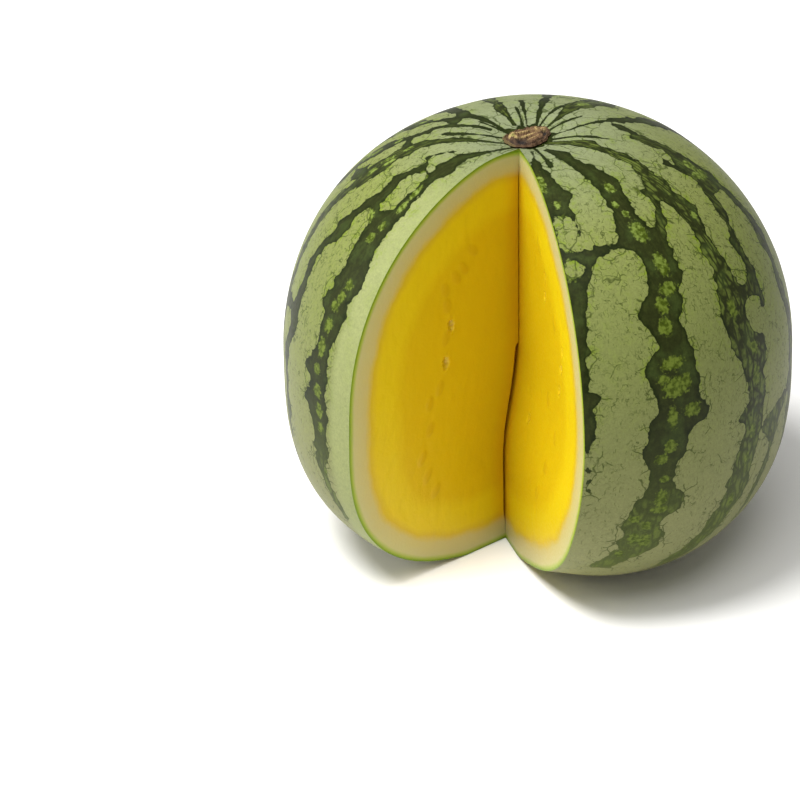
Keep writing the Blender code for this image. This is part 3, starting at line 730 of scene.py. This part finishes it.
def makeFlesh(outer, material):
    closed, corner, few = rows["closed"], len(rows["angles"]) - 1, flesh["innerColumns"]
    apex = outer[closed - 1, 0]

    def finer(lines):
        # Adds a point half-way between each two, which stays on the skin's straight mesh edge.
        result = np.empty((2 * len(lines) - 1,) + lines.shape[1:])
        result[::2] = lines
        result[1::2] = (lines[1:] + lines[:-1]) / 2.0
        return result

    edges = {"right": finer(outer[closed - 1:corner + 1, 0]), "left": finer(outer[closed - 1:corner + 1, -1])}
    edges["left"][0] = apex
    (rightGrid, rightFacts), (leftGrid, leftFacts) = (cutFace(edges[side], side, apex[2])
                                                      for side in ("right", "left"))
    hidden = sunkIn(skinGrid(few)[:corner + 1], flesh["hiddenDepth"])
    chunks = []

    def number(block):
        # Numbers a block of points, and keeps them after the others.
        start = sum(len(chunk) for chunk in chunks)
        chunks.append(block.reshape(-1, 3))
        return start + np.arange(len(chunks[-1])).reshape(block.shape[:-1])

    rightIds, leftIds = number(rightGrid), number(leftGrid)
    tip = rightIds[0, -1]
    rightIds[0] = leftIds[0] = tip
    shares = np.linspace(0.0, 1.0, flesh["wallColumns"] + 1)[1:-1]
    wall = (leftGrid[:, 0][:, None] * (1.0 - shares)[None, :, None]
            + rightGrid[:, 0][:, None] * shares[None, :, None])
    wallIds = np.concatenate([leftIds[:, :1], number(wall), rightIds[:, :1]], axis=1)
    wallIds[0] = tip
    bodyIds = number(finer(hidden[closed - 1:]))
    bodyIds[:, 0], bodyIds[:, -1] = rightIds[:, -1], leftIds[:, -1]
    crownIds = number(hidden[:closed - 1])
    crownIds[:, -1] = crownIds[:, 0]
    crownBody = np.concatenate([crownIds, bodyIds[:1]])
    crownBody[-1, 0] = crownBody[-1, -1] = tip
    footX, footY = (float(part) for part in apexAt(np.float64(0.0)))
    middle = math.radians((cut["leftAzimuth"] + cut["rightAzimuth"]) / 2.0)
    foot = (footX - math.sin(middle) * flesh["footBack"], footY + math.cos(middle) * flesh["footBack"],
            flesh["footUp"])
    poleIds = number(np.array([hidden[0].mean(axis=0), foot]))

    rim = np.concatenate([bodyIds[-1], leftIds[-1, ::-1][1:], wallIds[-1][1:], rightIds[-1][1:]])
    fanUv = ((0.95, 0.03), (0.94, 0.02), (0.96, 0.02))
    parts = [gridFaces(rightIds[:, ::-1], (0.03, 0.09, 0.47, 0.99)),
             gridFaces(leftIds, (0.53, 0.09, 0.97, 0.99)),
             gridFaces(wallIds[:, ::-1], (0.485, 0.09, 0.515, 0.99)),
             gridFaces(bodyIds, (0.02, 0.01, 0.9, 0.06)),
             gridFaces(crownBody, (0.02, 0.065, 0.9, 0.08)),
             fanFaces(poleIds[0], crownIds[0], fanUv), fanFaces(poleIds[1], rim, fanUv, True)]
    points = np.concatenate(chunks)
    attributes = {"depth": np.full(len(points), flesh["deep"]), "seed": np.zeros(len(points)),
                  "pocket": np.zeros(len(points)), "place": np.zeros((len(points), 3))}
    for ids, facts in ((rightIds, rightFacts), (leftIds, leftFacts)):
        for label, values in facts.items():
            attributes[label][ids[1:]] = values[1:]
    attributes["depth"][tip] = 0.0
    attributes["place"][wallIds[1:, 1:-1]] = flesh["wallPlace"]
    return makePiece("flesh", points, parts, attributes, material, 42.0)


# The stem's scar

scar = {
    "long": 0.0108, "short": 0.0080, "turn": 34.0, "gap": 0.0004, "columns": 150, "rings": 52, "underStep": 8,
    # height, count and phase of the edge's waves, and the size and count of its notches
    "edgeWaves": ((0.035, 3.0, 0.7), (0.030, 7.0, 2.1), (0.022, 13.0, 0.0)), "notch": (0.030, 9.5),
    # heights in mm, and the share of the way out to the edge where each sets in
    "rim": 0.9, "rimShares": (1.02, 0.90), "crown": 1.5, "crownShares": (0.95, 0.62), "topLimit": 0.0002,
    "rough": 1.05, "roughShares": (1.0, 0.8), "roughWaves": 0.45, "fine": 0.34, "fineWaves": 1.6,
    "dish": 1.0, "dishReach": 0.55, "least": 0.15,
    "crack": 0.45, "cracks": 4.5, "crackShares": (0.35, 0.95), "crackEdge": (0.7, 1.0),
    "ridge": 0.75, "ridgeShare": (0.93, 0.05), "groove": 0.9, "grooveShare": (0.80, 0.07),
    "fibre": 0.8, "fibreWaves": 2.1, "fibreLean": 0.45, "fibreMiddle": (-0.5, 1.2), "fibreReach": (5.2, 3.0),
    # places in mm right of and behind the scar's middle, and radius
    "cavity": (-2.2, -3.7, 3.0), "knot": (-6.0, -0.8, 2.0), "curl": (5.6, 5.0, 2.4), "pit": (7.2, 2.6, 1.5),
    "cavityDepth": 2.2, "pitDepth": 1.5, "knotHeight": 0.9, "knotHole": 0.8, "curlHeight": 1.0,
}


def scarHeight(dx, dy, share, turn):
    # Height over the rind in mm, and how creamy, dark and green the scar is there; the dark is painted shade
    # in its cavity, pit and groove.
    waves = scar["roughWaves"]
    rough = np.array([noise.fractal(Vector((x * waves, y * waves, 2.0)), 1.0, 2.1, 4)
                      for x, y in zip(dx.ravel(), dy.ravel())]).reshape(dx.shape)
    fine = noiseAt(dx * scar["fineWaves"], dy * scar["fineWaves"], 6.0)

    def near(name, scale=1.0):
        # 1 in the middle of a named place, fading out round it.
        x, y, radius = scar[name]
        return np.exp(-(((dx - x) ** 2 + (dy - y) ** 2) / (radius * scale) ** 2))

    def band(name):
        middle, half = scar[name]
        return np.exp(-((share - middle) / half) ** 2)

    height = scar["rim"] * smoothStep(*scar["rimShares"], share)
    height += scar["crown"] * smoothStep(*scar["crownShares"], share)
    height += scar["rough"] * rough * smoothStep(*scar["roughShares"], share) + scar["fine"] * fine
    height -= scar["dish"] * np.exp(-(share / scar["dishReach"]) ** 2)
    cracks = np.abs(np.sin(scar["cracks"] * turn + 2.2 * rough)) ** 6
    cracks *= smoothStep(*scar["crackShares"], share)
    height -= scar["crack"] * (1.0 - cracks) * smoothStep(*scar["crackEdge"], share)
    groove = band("grooveShare") * (0.5 + 0.5 * np.clip(1.0 + 2.0 * rough, 0.0, 1.0))
    height += scar["ridge"] * band("ridgeShare") - scar["groove"] * groove
    height -= scar["cavityDepth"] * near("cavity") + scar["pitDepth"] * near("pit")
    knot = near("knot")
    height += scar["knotHeight"] * knot - scar["knotHole"] * near("knot", 0.42)
    curlX, curlY, curlRadius = scar["curl"]
    fromRing = np.abs(np.hypot(dx - curlX, (dy - curlY) * 1.3) - curlRadius * 0.8)
    curl = np.exp(-(fromRing / 0.5) ** 2) * (dy > curlY - 1.2)
    height += scar["curlHeight"] * curl
    (middleX, middleY), (reachX, reachY) = scar["fibreMiddle"], scar["fibreReach"]
    strand = np.sin((dy - scar["fibreLean"] * dx) * scar["fibreWaves"] + 2.4 * rough + 0.8 * fine)
    fibres = smoothStep(0.10, 0.85, strand) * np.exp(
        -((dx - middleX) / reachX) ** 2 - ((dy - middleY) / reachY) ** 2)
    height += scar["fibre"] * fibres
    cream = np.clip(0.95 * smoothStep(0.25, 0.6, knot) + 0.95 * curl + 0.9 * fibres, 0.0, 1.0)
    # painted shade: near black in the cavity, the pit and the groove, less over the cream fibres
    dark = np.clip(1.3 * near("cavity") + 1.2 * near("pit") + 0.7 * groove - 0.6 * cream, 0.0, 1.0)
    green = np.clip(0.8 * near("knot", 0.45) + 0.2 * smoothStep(0.84, 1.0, share) * (dx < -5.0), 0.0, 1.0)
    return np.maximum(height, scar["least"]), cream, dark, green


def makeScar(material):
    form, columns, rings = melonForm, scar["columns"], scar["rings"]
    turn = np.linspace(0.0, 2.0 * math.pi, columns + 1)
    edge = 1.0 / np.hypot(np.cos(turn) / scar["long"], np.sin(turn) / scar["short"])
    edge *= sum((height * np.sin(count * turn + phase) for height, count, phase in scar["edgeWaves"]), 1.0)
    edge *= 1.0 - scar["notch"][0] * np.abs(np.sin(scar["notch"][1] * turn)) ** 3
    share = (np.arange(1, rings + 1) / rings)[:, None] * np.ones(columns + 1)
    world = turn + math.radians(scar["turn"])
    dx, dy = share * edge * np.cos(world) / mm, share * edge * np.sin(world) / mm
    height, cream, dark, green = scarHeight(dx, dy, share, turn * np.ones_like(share))
    for block in (height, cream, dark, green):
        block[:, -1] = block[:, 0]
    x, y = dx * mm + form["stemPlace"][0], dy * mm + form["stemPlace"][1]
    power = form["topFullness"]
    level = form["widestLevel"] + form["topRise"] * (
        1.0 - (np.hypot(x, y) / form["radius"]) ** power) ** (1.0 / power) - hollow(x, y) + scar["gap"]
    top = np.stack([x, y, np.minimum(level + height * mm, cadHigh.z - scar["topLimit"])], axis=-1)
    under = np.stack([x, y, level], axis=-1)
    under = np.concatenate([under[-1:], under[::scar["underStep"]][::-1][1:]])
    middles = np.array([top[0].mean(axis=0), under[-1].mean(axis=0)])
    points = np.concatenate([top.reshape(-1, 3), under.reshape(-1, 3), middles])
    index = np.arange(x.size).reshape(rings, columns + 1)
    underIndex = x.size + np.arange(under[..., 0].size).reshape(len(under), columns + 1)
    for ids in (index, underIndex):
        ids[:, -1] = ids[:, 0]

    # seen from above, the picture of the top lies straight on it; the underside gets a small corner of it
    quads = gridFaces(np.concatenate([index, underIndex]), (0.0, 0.0, 1.0, 1.0))[0]
    topQuads, underQuads = np.split(quads, [(rings - 1) * columns])
    topFan = np.array(fanFaces(len(points) - 2, index[0])[0])
    underFan = np.array(fanFaces(len(points) - 1, underIndex[-1], (), True)[0])
    span = (points[:, :2] - np.array(form["stemPlace"])) / (scar["long"] * 2.3) + 0.5
    parts = [(topQuads, span[topQuads]), (underQuads, span[underQuads] * 0.08),
             (topFan, span[topFan]), (underFan, span[underFan] * 0.08)]
    attributes = {}
    for label, block, fill in (("cream", cream, 0.0), ("dark", dark, 0.0), ("green", green, 0.0),
                               ("share", share, 1.0)):
        attributes[label] = np.concatenate([block.ravel(), np.full(len(points) - x.size, fill)])
        attributes[label][-2] = block[0].mean()
    return makePiece("stemScar", points, parts, attributes, material, 60.0)


# Materials

rindLook = {
    "paleHigh": "#757c43", "paleMiddle": "#6f7642", "paleLow": "#76784e", "base": "#9c9a6c",
    # the pale tint laid beside the left-hand cut is a painted highlight
    "crown": "#777e5e", "paintedHighlightTint": "#848a59", "lime": "#66781a", "crack": "#303a10",
    # the dark stripes' inner colour is greyer than their outline: a painted wax sheen
    "outline": "#161e04", "dark": "#24290e", "darkPatch": "#2e3816", "darkLow": "#464f22",
    "strand": "#59652a", "islandDeep": "#39450c", "islandHigh": "#70803a", "island": "#5c6a26",
    # sizes in mm of the cells whose borders scallop and crack the pale skin, and how far they reach into it
    "lobe": 9.0, "bump": 3.3, "seam": 4.6, "craze": 2.3, "fleck": 1.1,
    "lobeReach": 3.5, "bumpReach": 2.1, "reachMiddle": 0.46, "fray": 0.42,
    # size and reach in mm of the clouds that bend those cells
    "lobeBend": (15.0, 5.0), "lobeWaver": (2.8, 2.2), "bumpBend": (5.0, 1.6), "crazeWaver": (1.6, 1.7),
    # size in mm and detail of the clouds that mottle the skin and let its cracks and strands come and go
    "clouds": {"grain": (0.8, 2.0), "mottle": (1.7, 4.0), "blotch": (9.0, 3.0), "patch": (11.0, 3.0),
               "seamGate": (2.6, 1.0), "crazeGate": (2.2, 3.0), "strandGate": (4.0, 2.0),
               "speck": (1.0, 1.5), "greens": (2.2, 3.0)},
    "swaySize": 7.0, "sway": (0.9, 0.9, 0.5), "strandWidth": 3.5, "strandLength": 11.0, "fleckStretch": 0.34,
    # distance down the skin in mm where a change begins and ends
    "calmCrown": (11.0, 46.0), "toMiddle": (60.0, 125.0), "toLow": (130.0, 215.0), "toCrown": (75.0, 20.0),
    "fading": (205.0, 90.0), "limeCrown": (20.0, 80.0), "crackCrown": (28.0, 75.0),
    "darkPales": (165.0, 240.0), "islandPales": (110.0, 60.0), "toBase": (238.0, 290.0),
    "gloss": (0.40, 0.50), "bumpStrength": 0.10, "specular": 0.10,
}


def watermelonRind():
    # Skin of a ripe watermelon: green cells under a thin natural wax, which gives a soft broad sheen.
    material, add, look = newMaterial("waxyWatermelonRind", rindLook)
    place = add("TexCoord", output="Object")
    around = add("Attribute", output="Vector", attribute_name="around")
    stripe, island, strands, pallor, arc = (add("Attribute", output="Fac", attribute_name=label)
                                            for label in ("stripe", "island", "strands", "pallor", "arc"))
    cloud = {name: add("TexNoise", {"Vector": place, "Scale": 1.0 / (size * mm), "Detail": detail})
             for name, (size, detail) in look["clouds"].items()}
    grain, mottle, blotch = cloud["grain"], cloud["mottle"], cloud["blotch"]
    speckle = add("Math", (mottle, grain), operation="ADD")

    def bend(vector, sizeMm, reachMm):
        shift = add("TexNoise", {"Vector": place, "Scale": 1.0 / (sizeMm * mm), "Detail": 1.0}, "Color")
        shift = add("VectorMath", (shift, (0.5, 0.5, 0.5)), operation="SUBTRACT")
        return add("VectorMath", (shift, (reachMm * mm,) * 3, vector), operation="MULTIPLY_ADD")

    # Outline of the stripes: round lobes and bumps of pale skin, with dark cusps between them
    lobePlace = bend(bend(place, *look["lobeBend"]), *look["lobeWaver"])
    bumpPlace = bend(place, *look["bumpBend"])
    rounds = []
    for name, vector in (("lobe", lobePlace), ("bump", bumpPlace)):
        cell = add("TexVoronoi", {"Vector": vector, "Scale": 1.0 / (look[name] * mm)}, "Distance")
        reach = look[name + "Reach"]
        rounds.append(add("Math", (cell, reach, -look["reachMiddle"] * reach), operation="MULTIPLY_ADD"))
    fray = add("Math", (grain, 2.0 * look["fray"], -look["fray"]), operation="MULTIPLY_ADD")
    calm = add("MapRange", (arc, *look["calmCrown"], 0.12, 1.0))
    ragged = add("Math", (add("Math", rounds, operation="ADD"), calm, fray), operation="MULTIPLY_ADD")
    total = add("Math", (stripe, ragged), operation="ADD")
    isDark = add("MapRange", (total, -0.20, 0.22, 0.0, 1.0), interpolation_type="SMOOTHSTEP")

    # Pale skin: yellower lower down, fresher green beside the stripes, mottled all over, and paler beside the
    # left-hand cut, where a highlight is painted in
    near = add("MapRange", (total, -5.0, -0.3))
    high = add("MapRange", (arc, *look["fading"]))
    fresh = add("MapRange", (add("Math", (mottle, blotch), operation="ADD"), 0.98, 1.22))
    for share in (add("MapRange", (near, 0.0, 1.0, 0.18, 0.95)), high,
                  add("MapRange", (arc, *look["limeCrown"], 0.35, 1.0))):
        fresh = add("Math", (fresh, share), operation="MULTIPLY")
    pale = coated(add, look["paleHigh"], ((add("MapRange", (arc, *look["toMiddle"])), look["paleMiddle"]),
                                          (add("MapRange", (arc, *look["toLow"])), look["paleLow"]),
                                          (add("MapRange", (arc, *look["toCrown"])), look["crown"]),
                                          (pallor, look["paintedHighlightTint"]), (fresh, look["lime"])))
    tone = add("MapRange", (speckle, 0.7, 1.3, 0.88, 1.12))
    pale = add("VectorMath", {0: pale, 3: tone}, operation="SCALE")

    # Dark hair cracks run on from the cusps; between them the skin is crazed all over, and flecked lengthwise
    edge = {}
    for name, vector in (("lobe", lobePlace), ("craze", bend(bumpPlace, *look["crazeWaver"]))):
        edge[name] = add("TexVoronoi", {"Vector": vector, "Scale": 1.0 / (look[name] * mm)}, "Distance",
                         feature="DISTANCE_TO_EDGE")
    vein = add("TexNoise", {"Vector": bumpPlace, "Scale": 1.0 / (look["seam"] * mm), "Detail": 2.5})
    vein = add("Math", (add("Math", (vein, 0.5), operation="SUBTRACT"),), operation="ABSOLUTE")
    nearBlotch = add("Math", (near, 0.34, blotch), operation="MULTIPLY_ADD")
    lobeCrack, seam, craze = (
        add("Math", (add("MapRange", line), add("MapRange", gate)), operation="MULTIPLY") for line, gate in (
            ((edge["lobe"], 0.012, 0.040, 1.0, 0.0), (nearBlotch, 0.60, 0.68)),
            ((vein, 0.006, 0.024, 1.0, 0.0), (cloud["seamGate"], 0.46, 0.54)),
            ((edge["craze"], 0.02, 0.12, 0.55, 0.0), (cloud["crazeGate"], 0.48, 0.60))))
    patch = add("Math", (near, 0.10, cloud["patch"]), operation="MULTIPLY_ADD")
    patch = add("Math", (high, 0.22, patch), operation="MULTIPLY_ADD")
    crack = add("Math", (seam, craze), operation="MAXIMUM")
    for share in ((patch, 0.46, 0.68), (arc, *look["crackCrown"], 0.5, 1.0)):
        crack = add("Math", (crack, add("MapRange", share)), operation="MULTIPLY")
    lengthwise = add("VectorMath", (around, (1.0, 1.0, look["fleckStretch"])), operation="MULTIPLY")
    fleck = add("TexNoise", {"Vector": lengthwise, "Scale": 1.0 / look["fleck"], "Detail": 2.0})
    fleck = add("Math", (add("MapRange", (fleck, 0.64, 0.70)), 0.55), operation="MULTIPLY")
    for line in (lobeCrack, fleck):
        crack = add("Math", (crack, line), operation="MAXIMUM")
    # the cracks fade under the painted highlight beside the left-hand cut
    crack = add("Math", (crack, add("MapRange", (pallor, 0.0, 0.6, 0.78, 0.12))), operation="MULTIPLY")
    pale = coated(add, pale, ((crack, look["crack"]),))

    # Dark stripes: deepest along their outline, greyer inside where a wax sheen is painted in, laced with
    # pale strands where they are bundles
    inside = add("MapRange", (total, 0.2, 2.6))
    patchy = add("Math", (add("MapRange", (blotch, 0.50, 0.64)), inside), operation="MULTIPLY")
    size = (1.0 / look["strandWidth"],) * 2 + (1.0 / look["strandLength"],)
    sway = add("TexNoise", {"Vector": place, "Scale": 1.0 / (look["swaySize"] * mm), "Detail": 2.0}, "Color")
    sway = add("VectorMath", (sway, look["sway"]), operation="MULTIPLY")
    bundle = add("VectorMath", (around, size, sway), operation="MULTIPLY_ADD")
    lace = add("TexVoronoi", {"Vector": bundle, "Scale": 1.0}, "Distance", feature="DISTANCE_TO_EDGE")
    strand = strands
    for share in ((lace, 0.05, 0.20), (cloud["strandGate"], 0.38, 0.56), (total, 0.25, 1.1, 0.0, 0.8)):
        strand = add("Math", (strand, add("MapRange", share)), operation="MULTIPLY")
    dark = coated(add, look["outline"], ((inside, look["dark"]), (patchy, look["darkPatch"]),
                                         (add("MapRange", (arc, *look["darkPales"])), look["darkLow"]),
                                         (strand, look["strand"])))
    tone = add("MapRange", (speckle, 0.7, 1.3, 0.84, 1.18))
    dark = add("VectorMath", {0: dark, 3: tone}, operation="SCALE")

    # Islands in the stripes: loose yellow-green grains, thinning out towards their edge
    specks = add("Math", (cloud["speck"], mottle), operation="ADD")
    loose = add("Math", (specks, 0.9, island), operation="MULTIPLY_ADD")
    loose = add("MapRange", (loose, 1.20, 1.62, 0.0, 1.0), interpolation_type="SMOOTHSTEP")
    loose = add("Math", (loose, add("MapRange", (total, -0.1, 0.6))), operation="MULTIPLY")
    upper = add("MapRange", (arc, *look["islandPales"]))
    bright = coated(add, look["island"], ((upper, look["islandHigh"]),))
    greens = add("MapRange", (add("Math", (cloud["greens"], mottle), operation="ADD"), 0.88, 1.14))
    dark = coated(add, dark, ((loose, coated(add, look["islandDeep"], ((greens, bright),))),))

    toBase = add("MapRange", (arc, *look["toBase"], 0.0, 0.85))
    colour = coated(add, pale, ((isDark, dark), (toBase, look["base"])))
    gloss = add("MapRange", (mottle, 0.3, 0.7, *look["gloss"]))
    bump = add("Bump", {"Height": speckle, "Strength": look["bumpStrength"], "Distance": 0.2 * mm})
    shader = add("BsdfPrincipled", {"Base Color": colour, "Roughness": gloss, "IOR": 1.45, "Normal": bump,
                                    "Specular IOR Level": look["specular"]})
    add("OutputMaterial", {"Surface": shader})
    return material


fleshLook = {
    "green": "#6c8614", "lime": "#8f9f34", "white": "#b0a972", "cream": "#b3a566",
    "paleYellow": "#bda11c", "yellow": "#c8ae0c", "deepYellow": "#c1a208",
    "amber": "#c07c06", "seed": "#a8820a", "pocket": "#c4a434",
    # colours from the skin inwards, with their share of the depth
    "depth": 30.0,
    "bands": ((0.0, "green"), (0.014, "green"), (0.040, "lime"), (0.095, "white"), (0.290, "cream"),
              (0.40, "paleYellow"), (0.50, "yellow"), (0.80, "yellow"), (1.0, "deepYellow")),
    "bandCloud": 14.0, "bandSway": 5.0, "grain": 1.3,
    "fibre": (0.42, 0.085, 1.0),     # waves in a mm across, up and from face to face
    "strandShare": 0.55, "amberShare": 0.55, "seedShare": 0.30, "pocketShare": 0.28,
    "gloss": (0.30, 0.46), "pocketGloss": -0.22, "bumpStrength": 0.22,
    "glow": 0.35, "glowReach": (1.0, 0.62, 0.12), "glowSize": 3.0, "specular": 0.3,
}


def wetFlesh():
    # Cut watermelon flesh: water-filled cells under a film of juice, glossy and a little see-through.
    material, add, look = newMaterial("wetYellowFlesh", fleshLook)
    depth, seed, pocket = (add("Attribute", output="Fac", attribute_name=label)
                           for label in ("depth", "seed", "pocket"))
    place = add("Attribute", output="Vector", attribute_name="place")
    broad = add("TexNoise", {"Vector": place, "Scale": 1.0 / look["bandCloud"], "Detail": 3.0})
    shifted = add("Math", (broad, look["bandSway"], depth), operation="MULTIPLY_ADD")
    shifted = add("Math", (shifted, look["bandSway"] / 2.0), operation="SUBTRACT")
    rindShare = add("MapRange", (depth, 1.0, 7.0))
    level = add("Mix", {0: rindShare, 2: depth, 3: shifted}, data_type="FLOAT")
    level = add("Math", (level, look["depth"]), operation="DIVIDE")
    bands = add("ValToRGB", (level,), stops=[(share, look[name]) for share, name in look["bands"]])

    # Fibres run up and down through the cut
    strands = add("VectorMath", (place, look["fibre"]), operation="MULTIPLY")
    strands = add("TexNoise", {"Vector": strands, "Scale": 1.0, "Detail": 5.0, "Roughness": 0.62})
    grains = add("TexNoise", {"Vector": place, "Scale": 1.0 / look["grain"], "Detail": 3.0})
    inFlesh = add("MapRange", (depth, 7.0, 14.0))
    split = add("SeparateXYZ", (place,), "X")
    shares = [add("Math", pair, operation="MULTIPLY") for pair in (
        (add("MapRange", (strands, 0.52, 0.78, 0.0, look["strandShare"])), inFlesh),
        (add("MapRange", (split, -3.0, 9.0, look["amberShare"], 0.0)), inFlesh),
        (seed, look["seedShare"]), (pocket, look["pocketShare"]))]
    coats = [look[name] for name in ("deepYellow", "amber", "seed", "pocket")]
    colour = coated(add, bands, zip(shares, coats))

    gloss = add("MapRange", (grains, 0.3, 0.7, *look["gloss"]))
    wet = add("Math", (pocket, look["pocketGloss"], gloss), operation="MULTIPLY_ADD")
    relief = add("Math", (strands, grains), operation="ADD")
    bump = add("Bump", {"Height": relief, "Strength": look["bumpStrength"], "Distance": 0.4 * mm})
    shader = add("BsdfPrincipled", {"Base Color": colour, "Roughness": wet, "IOR": 1.36, "Normal": bump,
                                    "Subsurface Weight": look["glow"], "Subsurface Radius": look["glowReach"],
                                    "Subsurface Scale": look["glowSize"] * mm,
                                    "Specular IOR Level": look["specular"]})
    add("OutputMaterial", {"Surface": shader})
    return material


scarLook = {
    # the hollow colour is painted shade for the scar's cavity, pit and groove
    "bark": "#432a14", "barkPale": "#6a5032", "cream": "#a08a58", "hollow": "#1a100a", "green": "#69702e",
    "rim": "#4c3520", "coarse": 2.2, "fine": 0.5, "gloss": (0.72, 0.95), "bumpStrength": 0.6,
}


def corkyBark():
    # Dry cork and torn fibres of the stem: matte, with pale frayed ends.
    material, add, look = newMaterial("corkyStemBark", scarLook)
    place = add("TexCoord", output="Object")
    cream, dark, green, share = (add("Attribute", output="Fac", attribute_name=label)
                                 for label in ("cream", "dark", "green", "share"))
    coarse = add("TexNoise", {"Vector": place, "Scale": 1.0 / (look["coarse"] * mm), "Detail": 5.0,
                              "Roughness": 0.65})
    fine = add("TexNoise", {"Vector": place, "Scale": 1.0 / (look["fine"] * mm), "Detail": 3.0})
    tone = add("MapRange", (coarse, 0.35, 0.68))
    rim = add("MapRange", (share, 0.86, 1.0, 0.0, 0.8))
    # the last coat is the painted shade of the scar's cavity, pit and groove
    colour = coated(add, look["bark"], ((tone, look["barkPale"]), (rim, look["rim"]), (cream, look["cream"]),
                                        (green, look["green"]), (dark, look["hollow"])))
    relief = add("Math", (coarse, fine), operation="ADD")
    bump = add("Bump", {"Height": relief, "Strength": look["bumpStrength"], "Distance": 0.5 * mm})
    gloss = add("MapRange", (fine, 0.0, 1.0, *look["gloss"]))
    shader = add("BsdfPrincipled", {"Base Color": colour, "Roughness": gloss, "IOR": 1.45, "Normal": bump})
    add("OutputMaterial", {"Surface": shader})
    return material


rind, skinPoints = makeSkin(watermelonRind())
fleshPiece = makeFlesh(skinPoints, wetFlesh())
stemScar = makeScar(corkyBark())
rides = ((rind, "melon", "rind"), (fleshPiece, "melon", "flesh"), (stemScar, "stem_scar", "stem_bark"))
for piece, node, slotName in rides:
    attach(piece, "root")
    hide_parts(node)


# Floor, light and camera

studio = {
    "floor": "#f7f6f4", "floorSize": 8.0, "floorLevel": -0.0002, "floorRoughness": 0.85,
    "sky": 0.27, "lightsAim": (0.0, 0.0, 0.09),
    # azimuth round the melon from -Y towards +X, elevation, distance, size and power
    "lights": {
        "key": {"azimuth": -62.0, "elevation": 66.0, "distance": 2.1, "size": 1.0, "power": 58.0},
        "left": {"azimuth": -88.0, "elevation": 24.0, "distance": 2.4, "size": 1.4, "power": 18.0},
        "front": {"azimuth": 4.0, "elevation": 68.0, "distance": 2.6, "size": 1.9, "power": 27.0},
    },
}
cameraFacts = {
    "aim": (0.0, 0.0, 0.0884), "distance": 2.2, "elevation": 28.0, "lens": 228.8,
    "right": -0.0593, "up": -0.0247,     # the melon stands right of and above the picture's middle
}


def makeStage():
    # Matte white sweep: throws soft light back under the melon, and takes its shadow.
    material = bpy.data.materials.new("matteWhiteSweep")
    material.use_nodes = True
    shader = material.node_tree.nodes["Principled BSDF"]
    shader.inputs["Base Color"].default_value = linear(studio["floor"])
    shader.inputs["Roughness"].default_value = studio["floorRoughness"]
    half, level = studio["floorSize"] / 2.0, studio["floorLevel"]
    mesh = bpy.data.meshes.new("floor")
    corners = [(-half, -half, level), (half, -half, level), (half, half, level), (-half, half, level)]
    mesh.from_pydata(corners, [], [(0, 1, 2, 3)])
    mesh.materials.append(material)
    placed("floor", mesh)


def makeLights():
    for name, facts in studio["lights"].items():
        lamp = bpy.data.lights.new(name, "AREA")
        lamp.shape, lamp.size, lamp.energy = "DISK", facts["size"], facts["power"]
        azimuth, elevation = math.radians(facts["azimuth"]), math.radians(facts["elevation"])
        x, y = math.sin(azimuth) * math.cos(elevation), -math.cos(azimuth) * math.cos(elevation)
        item = placed(name, lamp)
        item.location = Vector((x, y, math.sin(elevation))) * facts["distance"]
        ahead = Vector(studio["lightsAim"]) - item.location
        item.rotation_euler = ahead.to_track_quat("-Z", "Y").to_euler()
    world = bpy.data.worlds.new("softSky")
    world.use_nodes = True
    background = world.node_tree.nodes["Background"]
    background.inputs["Color"].default_value = (1.0, 1.0, 1.0, 1.0)
    background.inputs["Strength"].default_value = studio["sky"]
    bpy.context.scene.world = world


def makeCamera():
    facts = cameraFacts
    elevation = math.radians(facts["elevation"])
    back = Vector((0.0, -math.cos(elevation), math.sin(elevation)))
    upward = Vector((0.0, math.sin(elevation), math.cos(elevation)))
    centre = Vector(facts["aim"])
    target = centre + Vector((facts["right"], 0.0, 0.0)) + upward * facts["up"]
    lens = bpy.data.cameras.new("camera")
    lens.lens = facts["lens"]
    camera = placed("camera", lens)
    camera.location = centre + back * facts["distance"]
    forward = (target - camera.location).normalized()
    across = forward.cross(upward).normalized()
    camera.rotation_euler = Matrix((across, across.cross(forward), -forward)).transposed().to_euler()
    bpy.context.scene.camera = camera


makeStage()
makeLights()
makeCamera()
bpy.context.scene.view_settings.view_transform = "Standard"

print("scene ready")
